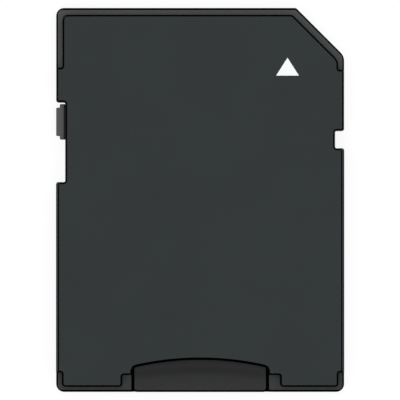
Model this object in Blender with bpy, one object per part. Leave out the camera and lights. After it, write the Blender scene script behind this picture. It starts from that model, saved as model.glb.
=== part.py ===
"""Full-size memory card adapter with a small memory card seated in its rear mouth.

The adapter lies on its contact side. X runs across it, Y points to its contact end and Z points up through
its label side. The origin is on the resting face, in the middle of the outline. All sizes are in metres.
"""

import math

import bmesh
import bpy
import numpy as np

# Housing
HOUSING_WIDTH = 0.024
HOUSING_LENGTH = 0.032
HOUSING_THICKNESS = 0.0021
RIM_HEIGHT = 0.0014
KEY_CHAMFER = 0.004
KEY_CHAMFER_FRONT_RADIUS = 0.0003
KEY_CHAMFER_SIDE_RADIUS = 0.001
FRONT_CORNER_RADIUS = 0.00065
REAR_CORNER_RADIUS = 0.00066
UNDERSIDE_EDGE = 0.00014
RIM_EDGE = 0.00011

# Notches through the whole thickness: for the lock slider on the left, for the host's detent on the right
LOCK_NOTCH_FROM_FRONT = 0.00788
LOCK_NOTCH_LENGTH = 0.00663
LOCK_NOTCH_DEPTH = 0.00075
SIDE_NOTCH_FROM_FRONT = 0.01026
SIDE_NOTCH_LENGTH = 0.00143
SIDE_NOTCH_DEPTH = 0.00075
NOTCH_RADIUS = 0.0002
NOTCH_INNER_RADIUS = 0.00013

# Cover: the raised plate, set back from the rim at the front and rear and flush with the sides between them
FRONT_RIM_WIDTH = 0.00065
LEFT_RIM_WIDTH = 0.00061
RIGHT_RIM_WIDTH = 0.00058
CHAMFER_RIM_WIDTH = 0.0007
LEFT_RIM_LENGTH = 0.00506
RIGHT_RIM_LENGTH = 0.00523
REAR_RIM_WIDTH = 0.0005
REAR_SIDE_RIM_WIDTH = 0.00056
REAR_SIDE_RIM_LENGTH = 0.0017
PLATE_CORNER_RADIUS = 0.0003
PLATE_KEY_RADIUS = 0.0008
PLATE_STEP_RADIUS = 0.0002
PLATE_EDGE = 0.00011
COVER_LOWER_EDGE = 0.00004
PARTING_GROOVE_WIDTH = 0.00008
PARTING_GROOVE_DEPTH = 0.00012
SLOT_ROOF_THICKNESS = 0.00045

# Mouth for the small card, with a post of the base beside it on each side
MOUTH_WIDTH = 0.01148
MOUTH_SIDE_LENGTH = 0.00207
MOUTH_CROWN = 0.00069
MOUTH_CORNER_RADIUS = 0.0003
POST_LENGTH = 0.00149
LEFT_POST_WIDTH = 0.00082
RIGHT_POST_WIDTH = 0.00099

# Printed arrow, in a recess that leaves it flush with the label side
ARROW_WIDTH = 0.00196
ARROW_HEIGHT = 0.00153
ARROW_FROM_RIGHT = 0.0047
ARROW_FROM_FRONT = 0.00412
INK_THICKNESS = 0.00002
INK_LIFT = 0.000002

# Small card
SMALL_CARD_LENGTH = 0.015
SMALL_CARD_WIDTH = 0.011
SMALL_CARD_THICKNESS = 0.0007
SMALL_CARD_KEY_WIDTH = 0.0013
SMALL_CARD_KEY_LENGTH = 0.0064
SMALL_CARD_FRONT_RADIUS = 0.0005
SMALL_CARD_REAR_RADIUS = 0.00022
SMALL_CARD_EDGE = 0.00005
SMALL_CARD_NOTCH_FROM_FRONT = 0.0086
SMALL_CARD_NOTCH_LENGTH = 0.0013
SMALL_CARD_NOTCH_DEPTH = 0.0006
SMALL_CARD_NOTCH_SLOPE = 0.0003
RIDGE_HEIGHT = 0.0003
RIDGE_LENGTH = 0.0019
RIDGE_CROWN = 0.00045
RIDGE_SLOPE_LENGTH = 0.0011
RIDGE_SIDE_MARGIN = 0.00003
RIDGE_EDGE = 0.00011
RIDGE_FOOT_SUNK = 0.0000125
PAD_PITCH = 0.0011
PAD_WIDTH = 0.0008
PAD_LENGTH = 0.0029
PAD_FROM_FRONT = 0.0011
PAD_THICKNESS = 0.000035
PAD_SUNK = 0.00001

# Base shell
SLOT_FLOOR_HEIGHT = 0.00088
WINDOW_DEPTH = 0.0007
PIT_FLOOR_THICKNESS = 0.0004
PIT_LENGTH = 0.0056
PIT_SIDE_LEDGE = 0.00045
FRONT_WALL = 0.0013
LEFT_WALL = 0.0015
RIGHT_WALL = 0.001825
CHAMFER_WALL = 0.001
SIDE_BAY_WALL = 0.0011
SIDE_BAY_SLOT_WALL = 0.0013
SIDE_BAY_REAR_WALL = 0.00055
SIDE_BAY_FRONT_WALL = 0.0022
SIDE_BAY_RIB = 0.0009
SIDE_BAY_FLOOR = 0.0007
LEAD_IN = 0.0003
PEG_RADIUS = 0.00045
PEG_FROM_REAR_WALL = 0.0011
PEG_FROM_SIDE_WALL = 0.0013

# Host contacts: a row of pads on the underside, counted from the key chamfer, with ribs between their windows
HOST_PADS = ("data_2", "data_3", "command", "ground", "supply", "clock", "ground_return", "data_0", "data_1")
HOST_SEVENTH_STEP_SHORTER = 0.000075
HOST_LAST_STEP_SHORTER = 0.0008
HOST_RIB_WIDTH = 0.0008
HOST_NARROW_RIB_WIDTH = 0.0006
HOST_WINDOW_LENGTH = 0.0045
HOST_FIRST_SET_BACK = 0.0022
PAD_LEDGE = 0.0001
PAD_END_CLEARANCE = 0.00006
PAD_SIDE_CLEARANCE = 0.000125

# Stamped contact strips: a finger for each pad of the small card, counted from its key side
FINGERS = ("data_2", "data_3", "command", "supply", "clock", "ground_return", "data_0", "data_1")
STRIP_THICKNESS = 0.00015
LEAD_WIDTH = 0.00036
GROUND_LINK_WIDTH = 0.00026
FINGER_WIDTH = 0.00046
SHOULDER_LENGTH = 0.0004
FINGER_DIP = 0.00022
FINGER_DIP_LENGTH = 0.0011
FINGER_BUMP_LENGTH = 0.0012
FINGER_TAIL_LENGTH = 0.0009
FAN_END_TO_ROOT = 0.0018
LINK_FLOOR_GAP = 0.00003
LINK_BEHIND_FINGERS = 0.0008

# Contact carrier
COMB_FROM_STOP = 0.0033
STOP_TONGUE_LENGTH = 0.0009

# Lock slider
LOCK_TRAVEL = 0.0034
THUMB_LENGTH = 0.00296
THUMB_TIP_LENGTH = 0.00237
THUMB_TIP_DEPTH = 0.0003
THUMB_CORNER_RADIUS = 0.0001
LOCK_EDGE = 0.00004
LOCK_END_PLAY = 0.00013
LOCK_NECK_LENGTH = 0.0014
LOCK_RAIL_LENGTH = 0.0024
LOCK_RAIL_WIDTH = 0.0006
LOCK_ARM_LENGTH = 0.0015
LOCK_ARM_WIDTH = 0.00025
LOCK_ARM_SET_BACK = 0.00009
LOCK_ARM_BOW = 0.6
LOCK_WALL = 0.0005
LOCK_POCKET_WIDTH = 0.001
LOCK_FLOOR_HEIGHT = 0.00042

# Latch spring for the small card
LATCH_THICKNESS = 0.00012
LATCH_HEIGHT = 0.0004
LATCH_FROM_SLOT = 0.0005
LATCH_ARM_LENGTH = 0.0052
LATCH_ANCHOR_LENGTH = 0.0005
LATCH_BUMP_LENGTH = 0.0022
LATCH_REACH = 0.0004
LATCH_POCKET_PLAY = 0.0004

# Clearances
SEAT = 0.00001
RUNNING = 0.00005
SLOT_CLEARANCE = 0.00008
CHANNEL_CLEARANCE = 0.00005
CONTACT_GAP = 0.000015

# How finely round forms are divided, and how far a cutting solid reaches past what it cuts
ARC_STEPS = 8
EDGE_STEPS = 3
MOUTH_STEPS = 24
CURVE_STEPS = 8
PEG_SIDES = 24
OVERCUT = 0.0005

# Places that follow from the sizes
HALF_WIDTH = HOUSING_WIDTH / 2
HALF_LENGTH = HOUSING_LENGTH / 2
LOCK_NOTCH_FLOOR_X = -HALF_WIDTH + LOCK_NOTCH_DEPTH
LOCK_NOTCH_FRONT_Y = HALF_LENGTH - LOCK_NOTCH_FROM_FRONT
LOCK_NOTCH_REAR_Y = LOCK_NOTCH_FRONT_Y - LOCK_NOTCH_LENGTH
CARD_FRONT_Y = -HALF_LENGTH + SMALL_CARD_LENGTH
CARD_BOTTOM_Z = SLOT_FLOOR_HEIGHT + 2 * SEAT
CARD_HALF_WIDTH = SMALL_CARD_WIDTH / 2
CARD_KEY_X = CARD_HALF_WIDTH - SMALL_CARD_KEY_WIDTH
STOP_Y = CARD_FRONT_Y + RUNNING
FINGER_ROOT_Y = STOP_Y + STOP_TONGUE_LENGTH
FAN_END_Y = FINGER_ROOT_Y + FAN_END_TO_ROOT
POCKET_FRONT_Y = HALF_LENGTH - FRONT_WALL
WINDOW_REAR_Y = HALF_LENGTH - HOST_WINDOW_LENGTH
STRIP_MID_Z = WINDOW_DEPTH + SEAT + STRIP_THICKNESS / 2
SLOT_ROOF_Z = HOUSING_THICKNESS - SLOT_ROOF_THICKNESS
INK_BOTTOM_Z = HOUSING_THICKNESS - INK_THICKNESS
LOCK_MID_Y = LOCK_NOTCH_FRONT_Y - LOCK_END_PLAY - THUMB_LENGTH / 2
LOCK_POCKET_OUTER_X = LOCK_NOTCH_FLOOR_X + LOCK_WALL
LATCH_NOTCH_Y = CARD_FRONT_Y - SMALL_CARD_NOTCH_FROM_FRONT - SMALL_CARD_NOTCH_LENGTH / 2
LATCH_LINE_X = CARD_HALF_WIDTH + LATCH_FROM_SLOT
LATCH_ANCHOR_Y = LATCH_NOTCH_Y + LATCH_ARM_LENGTH


def clear_scene():
    """Remove the objects that a new scene starts with."""
    for obj in list(bpy.data.objects):
        bpy.data.objects.remove(obj, do_unlink=True)


def make_material(name, colour, roughness, metallic=0.0):
    """A Principled material with one colour, roughness and metallic value."""
    material = bpy.data.materials.new(name)
    material.use_nodes = True
    shader = material.node_tree.nodes["Principled BSDF"]
    shader.inputs["Base Color"].default_value = (*colour, 1.0)
    shader.inputs["Roughness"].default_value = roughness
    shader.inputs["Metallic"].default_value = metallic
    material.diffuse_color = (*colour, 1.0)
    return material


def add_mesh(name, vertices, faces, material=None, parent=None):
    """Put a mesh in the scene, with its faces turned outwards, under an optional parent empty."""
    mesh = bpy.data.meshes.new(name)
    shape = bmesh.new()
    points = [shape.verts.new(tuple(map(float, v))) for v in vertices]
    for face in faces:
        shape.faces.new([points[i] for i in face])
    bmesh.ops.recalc_face_normals(shape, faces=shape.faces)
    shape.to_mesh(mesh)
    shape.free()
    if material:
        mesh.materials.append(material)
    obj = bpy.data.objects.new(name, mesh)
    bpy.context.scene.collection.objects.link(obj)
    obj.parent = parent
    return obj


def add_empty(name, location):
    """An empty that carries the pieces of one moving body."""
    empty = bpy.data.objects.new(name, None)
    empty.location = location
    empty.empty_display_size = 0.002
    bpy.context.scene.collection.objects.link(empty)
    return empty


def loft(name, rings, material=None, parent=None):
    """Join closed rings of equal count with quads and close both ends with one face each."""
    rings = np.asarray(rings, dtype=float)
    layers, count, _ = rings.shape
    faces = [list(range(count)), list(range((layers - 1) * count, layers * count))]
    for layer in range(layers - 1):
        for i in range(count):
            j = (i + 1) % count
            below, above = layer * count, (layer + 1) * count
            faces.append([below + i, below + j, above + j, above + i])
    return add_mesh(name, rings.reshape(-1, 3), faces, material, parent)


def rounded(corners):
    """An outline from corners (x, y, radius), with an arc at each corner that has a radius.

    An open path works too, as long as its two ends have no radius.
    """
    outline = []
    count = len(corners)
    for i, (x, y, radius) in enumerate(corners):
        here = np.array((x, y))
        if radius <= 0:
            outline.append(here)
            continue
        back = np.array(corners[i - 1][:2]) - here
        ahead = np.array(corners[(i + 1) % count][:2]) - here
        back /= np.linalg.norm(back)
        ahead /= np.linalg.norm(ahead)
        half_angle = math.acos(float(np.clip(back @ ahead, -1.0, 1.0))) / 2
        middle = back + ahead
        middle /= np.linalg.norm(middle)
        centre = here + middle * radius / math.sin(half_angle)
        tangent = radius / math.tan(half_angle)
        first = here + back * tangent - centre
        last = here + ahead * tangent - centre
        turn = math.atan2(first[0] * last[1] - first[1] * last[0], first @ last)
        for step in range(ARC_STEPS + 1):
            angle = turn * step / ARC_STEPS
            cos, sin = math.cos(angle), math.sin(angle)
            outline.append(centre + (first[0] * cos - first[1] * sin, first[0] * sin + first[1] * cos))
    return np.array(outline)


def inset(outline, distance):
    """The outline moved inwards by a distance, corner for corner. A negative distance grows it."""
    before = outline - np.roll(outline, 1, axis=0)
    after = np.roll(outline, -1, axis=0) - outline
    before /= np.linalg.norm(before, axis=1)[:, None]
    after /= np.linalg.norm(after, axis=1)[:, None]
    inward = np.stack((-before[:, 1] - after[:, 1], before[:, 0] + after[:, 0]), axis=1)
    inward /= (1 + np.sum(before * after, axis=1))[:, None]
    return outline + inward * distance


def at_height(outline, z):
    """The outline as points at one height."""
    return np.column_stack((outline, np.full(len(outline), z)))


def edge_rings(outline, z, radius):
    """The rings of a rounded edge that starts upright and ends level at z. A negative radius lies below."""
    if not radius:
        return [at_height(outline, z)]
    angles = np.pi / 2 * np.arange(EDGE_STEPS + 1) / EDGE_STEPS
    reach = abs(radius)
    insets = reach * (1 - np.cos(angles))
    heights = z - radius * (1 - np.sin(angles))
    return [at_height(inset(outline, distance), height) for distance, height in zip(insets, heights)]


def prism(name, outline, bottom, top, material=None, lower_edge=0.0, upper_edge=0.0, parent=None):
    """An outline drawn up from bottom to top, with a radius on its lower and on its upper edge."""
    rings = edge_rings(outline, bottom, -lower_edge)[::-1] + edge_rings(outline, top, upper_edge)
    return loft(name, rings, material, parent)


def rectangle(left, right, rear, front):
    """The outline of a rectangle in plan."""
    return np.array([(left, rear), (right, rear), (right, front), (left, front)])


def ribbon(name, path, widths, height, material=None, parent=None):
    """A strip of rectangular section carried along a path of (x, y, z), with mitred corners in plan.

    Its width lies level, across the path, and its height is square to the path's slope.
    """
    path = np.asarray(path, dtype=float)
    widths = np.broadcast_to(np.asarray(widths, dtype=float), len(path))
    runs = np.diff(path[:, :2], axis=0)
    lengths = np.linalg.norm(runs, axis=1)
    headings = runs / lengths[:, None]
    slopes = np.diff(path[:, 2]) / lengths
    before = np.vstack((headings[:1], headings))
    after = np.vstack((headings, headings[-1:]))
    along = before + after
    along /= np.linalg.norm(along, axis=1)[:, None]
    mitre = np.sum(along * after, axis=1)
    across = np.column_stack((-along[:, 1], along[:, 0], np.zeros(len(path)))) / mitre[:, None]
    slope = (np.append(slopes[0], slopes) + np.append(slopes, slopes[-1])) / 2
    upright = np.column_stack((-slope[:, None] * along, np.ones(len(path))))
    upright /= np.linalg.norm(upright, axis=1)[:, None]
    side = across * widths[:, None] / 2
    rise = upright * height / 2
    rings = np.stack((path - side - rise, path + side - rise, path + side + rise, path - side + rise), axis=1)
    return loft(name, rings, material, parent)


def use_as_cutter(obj):
    """Keep a helper solid out of the model and draw it as wires."""
    obj.hide_render = True
    obj.display_type = "WIRE"


def combine(obj, others, operation):
    """Cut other solids out of an object, or join them to it, with one Boolean each."""
    for other in others:
        use_as_cutter(other)
        step = obj.modifiers.new(f"{operation.lower()}_{other.name}", "BOOLEAN")
        step.operation = operation
        step.solver = "EXACT"
        step.object = other


def arc_points(start, end, sagitta, steps):
    """The points of a shallow arc between two points, its ends left out. The sagitta lies to the left."""
    start, end = np.array(start), np.array(end)
    chord = end - start
    length = np.linalg.norm(chord)
    radius = (length**2 / 4 + sagitta**2) / (2 * sagitta)
    left = np.array((-chord[1], chord[0])) / length
    centre = (start + end) / 2 - left * (radius - sagitta)
    half_angle = math.asin(length / 2 / radius)
    angles = half_angle * (1 - 2 * np.arange(1, steps) / steps)
    forward = chord / length
    return [centre + radius * (left * math.cos(a) - forward * math.sin(a)) for a in angles]


def smooth_step(start, end, fraction):
    """A value that leaves start and reaches end level, on half a cosine wave."""
    return start + (end - start) * (1 - np.cos(np.pi * fraction)) / 2


def chamfer_sum(distance):
    """x + y along the line that runs parallel to the key chamfer, a distance inside it."""
    return HALF_WIDTH + HALF_LENGTH - KEY_CHAMFER - distance * math.sqrt(2)


def housing_outline():
    """The adapter's outline in plan, anticlockwise from its rear left corner."""
    notch_x = HALF_WIDTH - SIDE_NOTCH_DEPTH
    notch_front = HALF_LENGTH - SIDE_NOTCH_FROM_FRONT
    notch_rear = notch_front - SIDE_NOTCH_LENGTH
    return rounded([
        (-HALF_WIDTH, -HALF_LENGTH, REAR_CORNER_RADIUS),
        (HALF_WIDTH, -HALF_LENGTH, REAR_CORNER_RADIUS),
        (HALF_WIDTH, notch_rear, NOTCH_RADIUS),
        (notch_x, notch_rear, NOTCH_INNER_RADIUS),
        (notch_x, notch_front, NOTCH_INNER_RADIUS),
        (HALF_WIDTH, notch_front, NOTCH_RADIUS),
        (HALF_WIDTH, HALF_LENGTH - KEY_CHAMFER, KEY_CHAMFER_SIDE_RADIUS),
        (HALF_WIDTH - KEY_CHAMFER, HALF_LENGTH, KEY_CHAMFER_FRONT_RADIUS),
        (-HALF_WIDTH, HALF_LENGTH, FRONT_CORNER_RADIUS),
        (-HALF_WIDTH, LOCK_NOTCH_FRONT_Y, NOTCH_RADIUS),
        (LOCK_NOTCH_FLOOR_X, LOCK_NOTCH_FRONT_Y, NOTCH_INNER_RADIUS),
        (LOCK_NOTCH_FLOOR_X, LOCK_NOTCH_REAR_Y, NOTCH_INNER_RADIUS),
        (-HALF_WIDTH, LOCK_NOTCH_REAR_Y, NOTCH_RADIUS),
    ])


def front_rim_corners(margin=0.0):
    """The plate's edge along the front rim, from right to left, moved out from the plate by a margin.

    The arcs keep their centres, so a radius grows by the margin on outer corners and shrinks on inner ones.
    """
    left = -HALF_WIDTH + LEFT_RIM_WIDTH - margin
    right = HALF_WIDTH - RIGHT_RIM_WIDTH + margin
    front = HALF_LENGTH - FRONT_RIM_WIDTH + margin
    key = chamfer_sum(CHAMFER_RIM_WIDTH - margin)
    return [
        (right, HALF_LENGTH - RIGHT_RIM_LENGTH + margin, PLATE_STEP_RADIUS - margin),
        (right, key - right, PLATE_KEY_RADIUS + margin),
        (key - front, front, PLATE_CORNER_RADIUS + margin),
        (left, front, PLATE_CORNER_RADIUS + margin),
        (left, HALF_LENGTH - LEFT_RIM_LENGTH + margin, PLATE_STEP_RADIUS - margin),
    ]


def rear_rim_corners(side, post_width, margin=0.0):
    """The plate's edge along the rear rim of one side (-1 left, 1 right), from the mouth outwards."""
    post = MOUTH_WIDTH / 2 + post_width - margin
    outer = HALF_WIDTH - REAR_SIDE_RIM_WIDTH + margin
    rear = -HALF_LENGTH + REAR_RIM_WIDTH - margin
    return [
        (side * post, -HALF_LENGTH + POST_LENGTH - margin, PLATE_STEP_RADIUS - margin),
        (side * post, rear, PLATE_STEP_RADIUS + margin),
        (side * outer, rear, PLATE_STEP_RADIUS + margin),
        (side * outer, -HALF_LENGTH + REAR_SIDE_RIM_LENGTH - margin, PLATE_STEP_RADIUS - margin),
    ]


def cover_outline():
    """The cover's outline in plan: the housing's, stepped in for the rims and cut back for the mouth."""
    mouth = MOUTH_WIDTH / 2
    arc_y = -HALF_LENGTH + MOUTH_SIDE_LENGTH
    post_y = -HALF_LENGTH + POST_LENGTH
    rim_y = -HALF_LENGTH + REAR_SIDE_RIM_LENGTH
    notch_x = HALF_WIDTH - SIDE_NOTCH_DEPTH
    notch_front = HALF_LENGTH - SIDE_NOTCH_FROM_FRONT
    notch_rear = notch_front - SIDE_NOTCH_LENGTH
    crown = arc_points((-mouth, arc_y), (mouth, arc_y), MOUTH_CROWN, MOUTH_STEPS)
    front = front_rim_corners()
    return rounded([
        (-HALF_WIDTH, rim_y, 0),
        *reversed(rear_rim_corners(-1, LEFT_POST_WIDTH)),
        (-mouth, post_y, 0),
        (-mouth, arc_y, MOUTH_CORNER_RADIUS),
        *[(x, y, 0) for x, y in crown],
        (mouth, arc_y, MOUTH_CORNER_RADIUS),
        (mouth, post_y, 0),
        *rear_rim_corners(1, RIGHT_POST_WIDTH),
        (HALF_WIDTH, rim_y, 0),
        (HALF_WIDTH, notch_rear, NOTCH_RADIUS),
        (notch_x, notch_rear, NOTCH_INNER_RADIUS),
        (notch_x, notch_front, NOTCH_INNER_RADIUS),
        (HALF_WIDTH, notch_front, NOTCH_RADIUS),
        (HALF_WIDTH, front[0][1], 0),
        *front,
        (-HALF_WIDTH, front[-1][1], 0),
        (-HALF_WIDTH, LOCK_NOTCH_FRONT_Y, NOTCH_RADIUS),
        (LOCK_NOTCH_FLOOR_X, LOCK_NOTCH_FRONT_Y, NOTCH_INNER_RADIUS),
        (LOCK_NOTCH_FLOOR_X, LOCK_NOTCH_REAR_Y, NOTCH_INNER_RADIUS),
        (-HALF_WIDTH, LOCK_NOTCH_REAR_Y, NOTCH_RADIUS),
    ])


def arrow_outline(grow=0.0):
    """The triangle that shows which end goes in first, in plan, grown by a clearance."""
    x = HALF_WIDTH - ARROW_FROM_RIGHT
    tip_y = HALF_LENGTH - ARROW_FROM_FRONT
    base_y = tip_y - ARROW_HEIGHT
    return inset(np.array([(x - ARROW_WIDTH / 2, base_y), (x + ARROW_WIDTH / 2, base_y), (x, tip_y)]), -grow)


def small_card_corners(grow=0.0, front=0.0, rear=None):
    """The small card's keyed shape in plan, without its notch, grown by a clearance. Front is at y = 0."""
    rear = -SMALL_CARD_LENGTH if rear is None else rear
    half = CARD_HALF_WIDTH + grow
    key = CARD_KEY_X + grow
    shoulder = -SMALL_CARD_KEY_LENGTH + grow
    return [
        (-half, rear),
        (half, rear),
        (half, shoulder - SMALL_CARD_KEY_WIDTH),
        (key, shoulder),
        (key, front),
        (-half, front),
    ]


def slot_outline(front):
    """The slot that takes the small card, open past the rear edge, in the housing's frame."""
    corners = small_card_corners(SLOT_CLEARANCE, front - CARD_FRONT_Y, -SMALL_CARD_LENGTH - OVERCUT)
    return np.array([(x, y + CARD_FRONT_Y) for x, y in corners])


def host_contacts():
    """Name, middle, window width and set-back of each host contact, from the key chamfer across.

    The row of pads fills the carrier's pocket from side to side. Its middles lie eight steps apart, of which
    the last two are shorter, and the pads at its two ends are narrow ones.
    """
    margin = PAD_SIDE_CLEARANCE + PAD_LEDGE
    row = HOUSING_WIDTH - LEFT_WALL - RIGHT_WALL - 2 * margin
    narrowing = HOST_LAST_STEP_SHORTER + HOST_NARROW_RIB_WIDTH
    pitch = (row + narrowing + HOST_SEVENTH_STEP_SHORTER + HOST_LAST_STEP_SHORTER) / len(HOST_PADS)
    wide = pitch - HOST_RIB_WIDTH
    narrow = pitch - narrowing
    x = HALF_WIDTH - RIGHT_WALL - margin - narrow / 2
    contacts = [(HOST_PADS[0], x, narrow, HOST_FIRST_SET_BACK)]
    for name in HOST_PADS[1:-2]:
        x -= pitch
        contacts.append((name, x, wide, 0.0))
    x -= pitch - HOST_SEVENTH_STEP_SHORTER
    contacts.append((HOST_PADS[-2], x, narrow, 0.0))
    contacts.append((HOST_PADS[-1], x - pitch + HOST_LAST_STEP_SHORTER, narrow, 0.0))
    return contacts


def pad_front(contact):
    """Where a host pad ends: at the front wall, or sooner where its corner meets the key chamfer's wall."""
    _, x, width, _ = contact
    corner_x = x + width / 2 + PAD_LEDGE
    return min(POCKET_FRONT_Y, chamfer_sum(CHAMFER_WALL) - corner_x) - PAD_END_CLEARANCE


def small_pad_x(place):
    """The middle of a small card pad, counted from the key side, across the card's keyed front."""
    middle = (CARD_KEY_X - CARD_HALF_WIDTH) / 2
    return middle + ((len(FINGERS) - 1) / 2 - place) * PAD_PITCH


def finger_path(x):
    """A spring finger: level at its root, dipping, rising to a round contact bump and curling down."""
    low = STRIP_MID_Z - FINGER_DIP
    high = CARD_BOTTOM_Z - CONTACT_GAP - STRIP_THICKNESS / 2
    contact_y = CARD_FRONT_Y - PAD_FROM_FRONT - PAD_LENGTH / 2
    fractions = np.arange(CURVE_STEPS + 1) / CURVE_STEPS
    dip_y = FINGER_ROOT_Y - fractions * FINGER_DIP_LENGTH
    dip = np.column_stack((dip_y, smooth_step(STRIP_MID_Z, low, fractions)))
    rise_y = contact_y + (1 - fractions) * FINGER_BUMP_LENGTH
    rise = np.column_stack((rise_y, smooth_step(low, high, fractions)))
    tail = fractions[1:] * FINGER_TAIL_LENGTH / FINGER_BUMP_LENGTH
    curl = np.column_stack((contact_y - tail * FINGER_BUMP_LENGTH, smooth_step(high, low, tail)))
    profile = np.vstack((dip, rise, curl))
    return np.column_stack((np.full(len(profile), x), profile))


def contact_path(contact, finger_x):
    """The level run of a strip, from its pad through the shoulder and the fan to the finger's root."""
    _, host_x, _, set_back = contact
    pad_rear = WINDOW_REAR_Y - PAD_LEDGE - set_back
    plan = [
        (host_x, pad_front(contact)),
        (host_x, pad_rear),
        (host_x, pad_rear - SHOULDER_LENGTH),
        (finger_x, FAN_END_Y),
    ]
    return np.array([(x, y, STRIP_MID_Z) for x, y in plan])


def contact_strip(name, contact, finger_x, grow, material=None):
    """One strip from pad to finger, or the channel for it, which is larger by a clearance all round."""
    finger = finger_path(finger_x)
    path = np.vstack((contact_path(contact, finger_x), finger))
    pad = contact[2] + 2 * PAD_LEDGE
    widths = [pad, pad, LEAD_WIDTH, LEAD_WIDTH] + [FINGER_WIDTH] * len(finger)
    return ribbon(name, path, np.array(widths) + 2 * grow, STRIP_THICKNESS + 2 * grow, material)


def ground_link(name, contact, finger_xs, grow, material=None):
    """The ground strip: it dips between two fingers, passes behind their tips and joins its return strip."""
    supply = FINGERS.index("supply")
    home = FINGERS.index("ground_return")
    out_x = (finger_xs[supply - 1] + finger_xs[supply]) / 2
    back_x = (finger_xs[home - 1] + finger_xs[home]) / 2
    floor_z = PIT_FLOOR_THICKNESS + LINK_FLOOR_GAP + STRIP_THICKNESS / 2
    fractions = np.arange(CURVE_STEPS + 1) / CURVE_STEPS
    dip_y = FINGER_ROOT_Y - fractions * FINGER_DIP_LENGTH
    dip_z = smooth_step(STRIP_MID_Z, floor_z, fractions)
    down = np.column_stack((np.full(len(dip_y), out_x), dip_y, dip_z))
    up = np.column_stack((np.full(len(dip_y), back_x), dip_y, dip_z))[::-1]
    contact_y = CARD_FRONT_Y - PAD_FROM_FRONT - PAD_LENGTH / 2
    behind_y = contact_y - FINGER_TAIL_LENGTH - LINK_BEHIND_FINGERS
    join_y = (FINGER_ROOT_Y + FAN_END_Y) / 2
    path = np.vstack((
        contact_path(contact, out_x),
        down,
        [(out_x, behind_y, floor_z), (back_x, behind_y, floor_z)],
        up,
        [(back_x, join_y, STRIP_MID_Z), (finger_xs[home], join_y, STRIP_MID_Z)],
    ))
    pad = contact[2] + 2 * PAD_LEDGE
    widths = [pad, pad, LEAD_WIDTH] + [GROUND_LINK_WIDTH] * (len(path) - 3)
    return ribbon(name, path, np.array(widths) + 2 * grow, STRIP_THICKNESS + 2 * grow, material)


def make_contacts(grow=0.0, material=None):
    """All eight contact strips, or the channels for them. The ground strip serves two pads."""
    contacts = host_contacts()
    fingers = [small_pad_x(place) for place in range(len(FINGERS))]
    prefix = "channel" if grow else "contact"
    strips = []
    for contact in contacts:
        if contact[0] == "ground":
            strips.append(ground_link(f"{prefix}_ground", contact, fingers, grow, material))
        else:
            finger_x = fingers[FINGERS.index(contact[0])]
            strips.append(contact_strip(f"{prefix}_{contact[0]}", contact, finger_x, grow, material))
    return strips


def carrier_corners(play):
    """The carrier's shape in plan, behind the front wall and beside the lock slider's pocket."""
    left = -HALF_WIDTH + LEFT_WALL + play
    waist = LOCK_POCKET_OUTER_X + LOCK_POCKET_WIDTH + LOCK_WALL + play
    right = HALF_WIDTH - RIGHT_WALL - play
    front = POCKET_FRONT_Y - play
    key = chamfer_sum(CHAMFER_WALL + play)
    waist_y = LOCK_NOTCH_FRONT_Y + LOCK_WALL
    return [
        (waist, FINGER_ROOT_Y + play),
        (right, FINGER_ROOT_Y + play),
        (right, key - right),
        (key - front, front),
        (left, front),
        (left, waist_y + waist - left + play),
        (waist, waist_y + play),
    ]


def peg_places():
    """The two pegs of the base that locate the carrier, behind the outermost leads."""
    y = FINGER_ROOT_Y + PEG_FROM_REAR_WALL
    left = LOCK_POCKET_OUTER_X + LOCK_POCKET_WIDTH + LOCK_WALL + PEG_FROM_SIDE_WALL
    right = HALF_WIDTH - RIGHT_WALL - PEG_FROM_SIDE_WALL
    return [(left, y), (right, y)]


def peg(name, place, radius, bottom, top):
    """A round peg, or the hole for it."""
    angles = 2 * np.pi * np.arange(PEG_SIDES) / PEG_SIDES
    outline = np.column_stack((place[0] + radius * np.cos(angles), place[1] + radius * np.sin(angles)))
    return prism(name, outline, bottom, top)


def window_cutter(contact):
    """The recess under one host pad, open at the front, with a lead-in slope up into the front wall."""
    name, x, width, set_back = contact
    rear = WINDOW_REAR_Y - set_back
    beyond = HALF_LENGTH + OVERCUT
    ramp = HALF_LENGTH - LEAD_IN
    low = -OVERCUT
    high = WINDOW_DEPTH + (beyond - ramp)
    profile = [(rear, low), (beyond, low), (beyond, high), (ramp, WINDOW_DEPTH), (rear, WINDOW_DEPTH)]
    rings = [[(side, y, z) for y, z in profile] for side in (x - width / 2, x + width / 2)]
    return loft(f"window_{name}", rings)


def pad_opening_cutter(contact):
    """The hole through the floor over one host pad, between the recess and the carrier's pocket."""
    name, x, width, set_back = contact
    rear = WINDOW_REAR_Y - set_back
    outline = rectangle(x - width / 2, x + width / 2, rear, pad_front(contact))
    return prism(f"pad_opening_{name}", outline, -OVERCUT, RIM_HEIGHT)


def groove_cutters():
    """The parting grooves in the base's rim, along the plate's edge at the front and beside the mouth."""
    half = PARTING_GROOVE_WIDTH / 2
    height = 2 * PARTING_GROOVE_DEPTH
    beyond = HALF_WIDTH + OVERCUT
    front = front_rim_corners(half)
    paths = {"front_groove": [(beyond, front[0][1], 0), *front, (-beyond, front[-1][1], 0)]}
    for name, side, post in (("left_groove", -1, LEFT_POST_WIDTH), ("right_groove", 1, RIGHT_POST_WIDTH)):
        rear = rear_rim_corners(side, post, half)
        inner = side * (CARD_HALF_WIDTH - OVERCUT)
        paths[name] = [(inner, rear[0][1], 0), *rear, (side * beyond, rear[-1][1], 0)]
    return [ribbon(name, at_height(rounded(path), RIM_HEIGHT), PARTING_GROOVE_WIDTH, height)
            for name, path in paths.items()]


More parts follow.
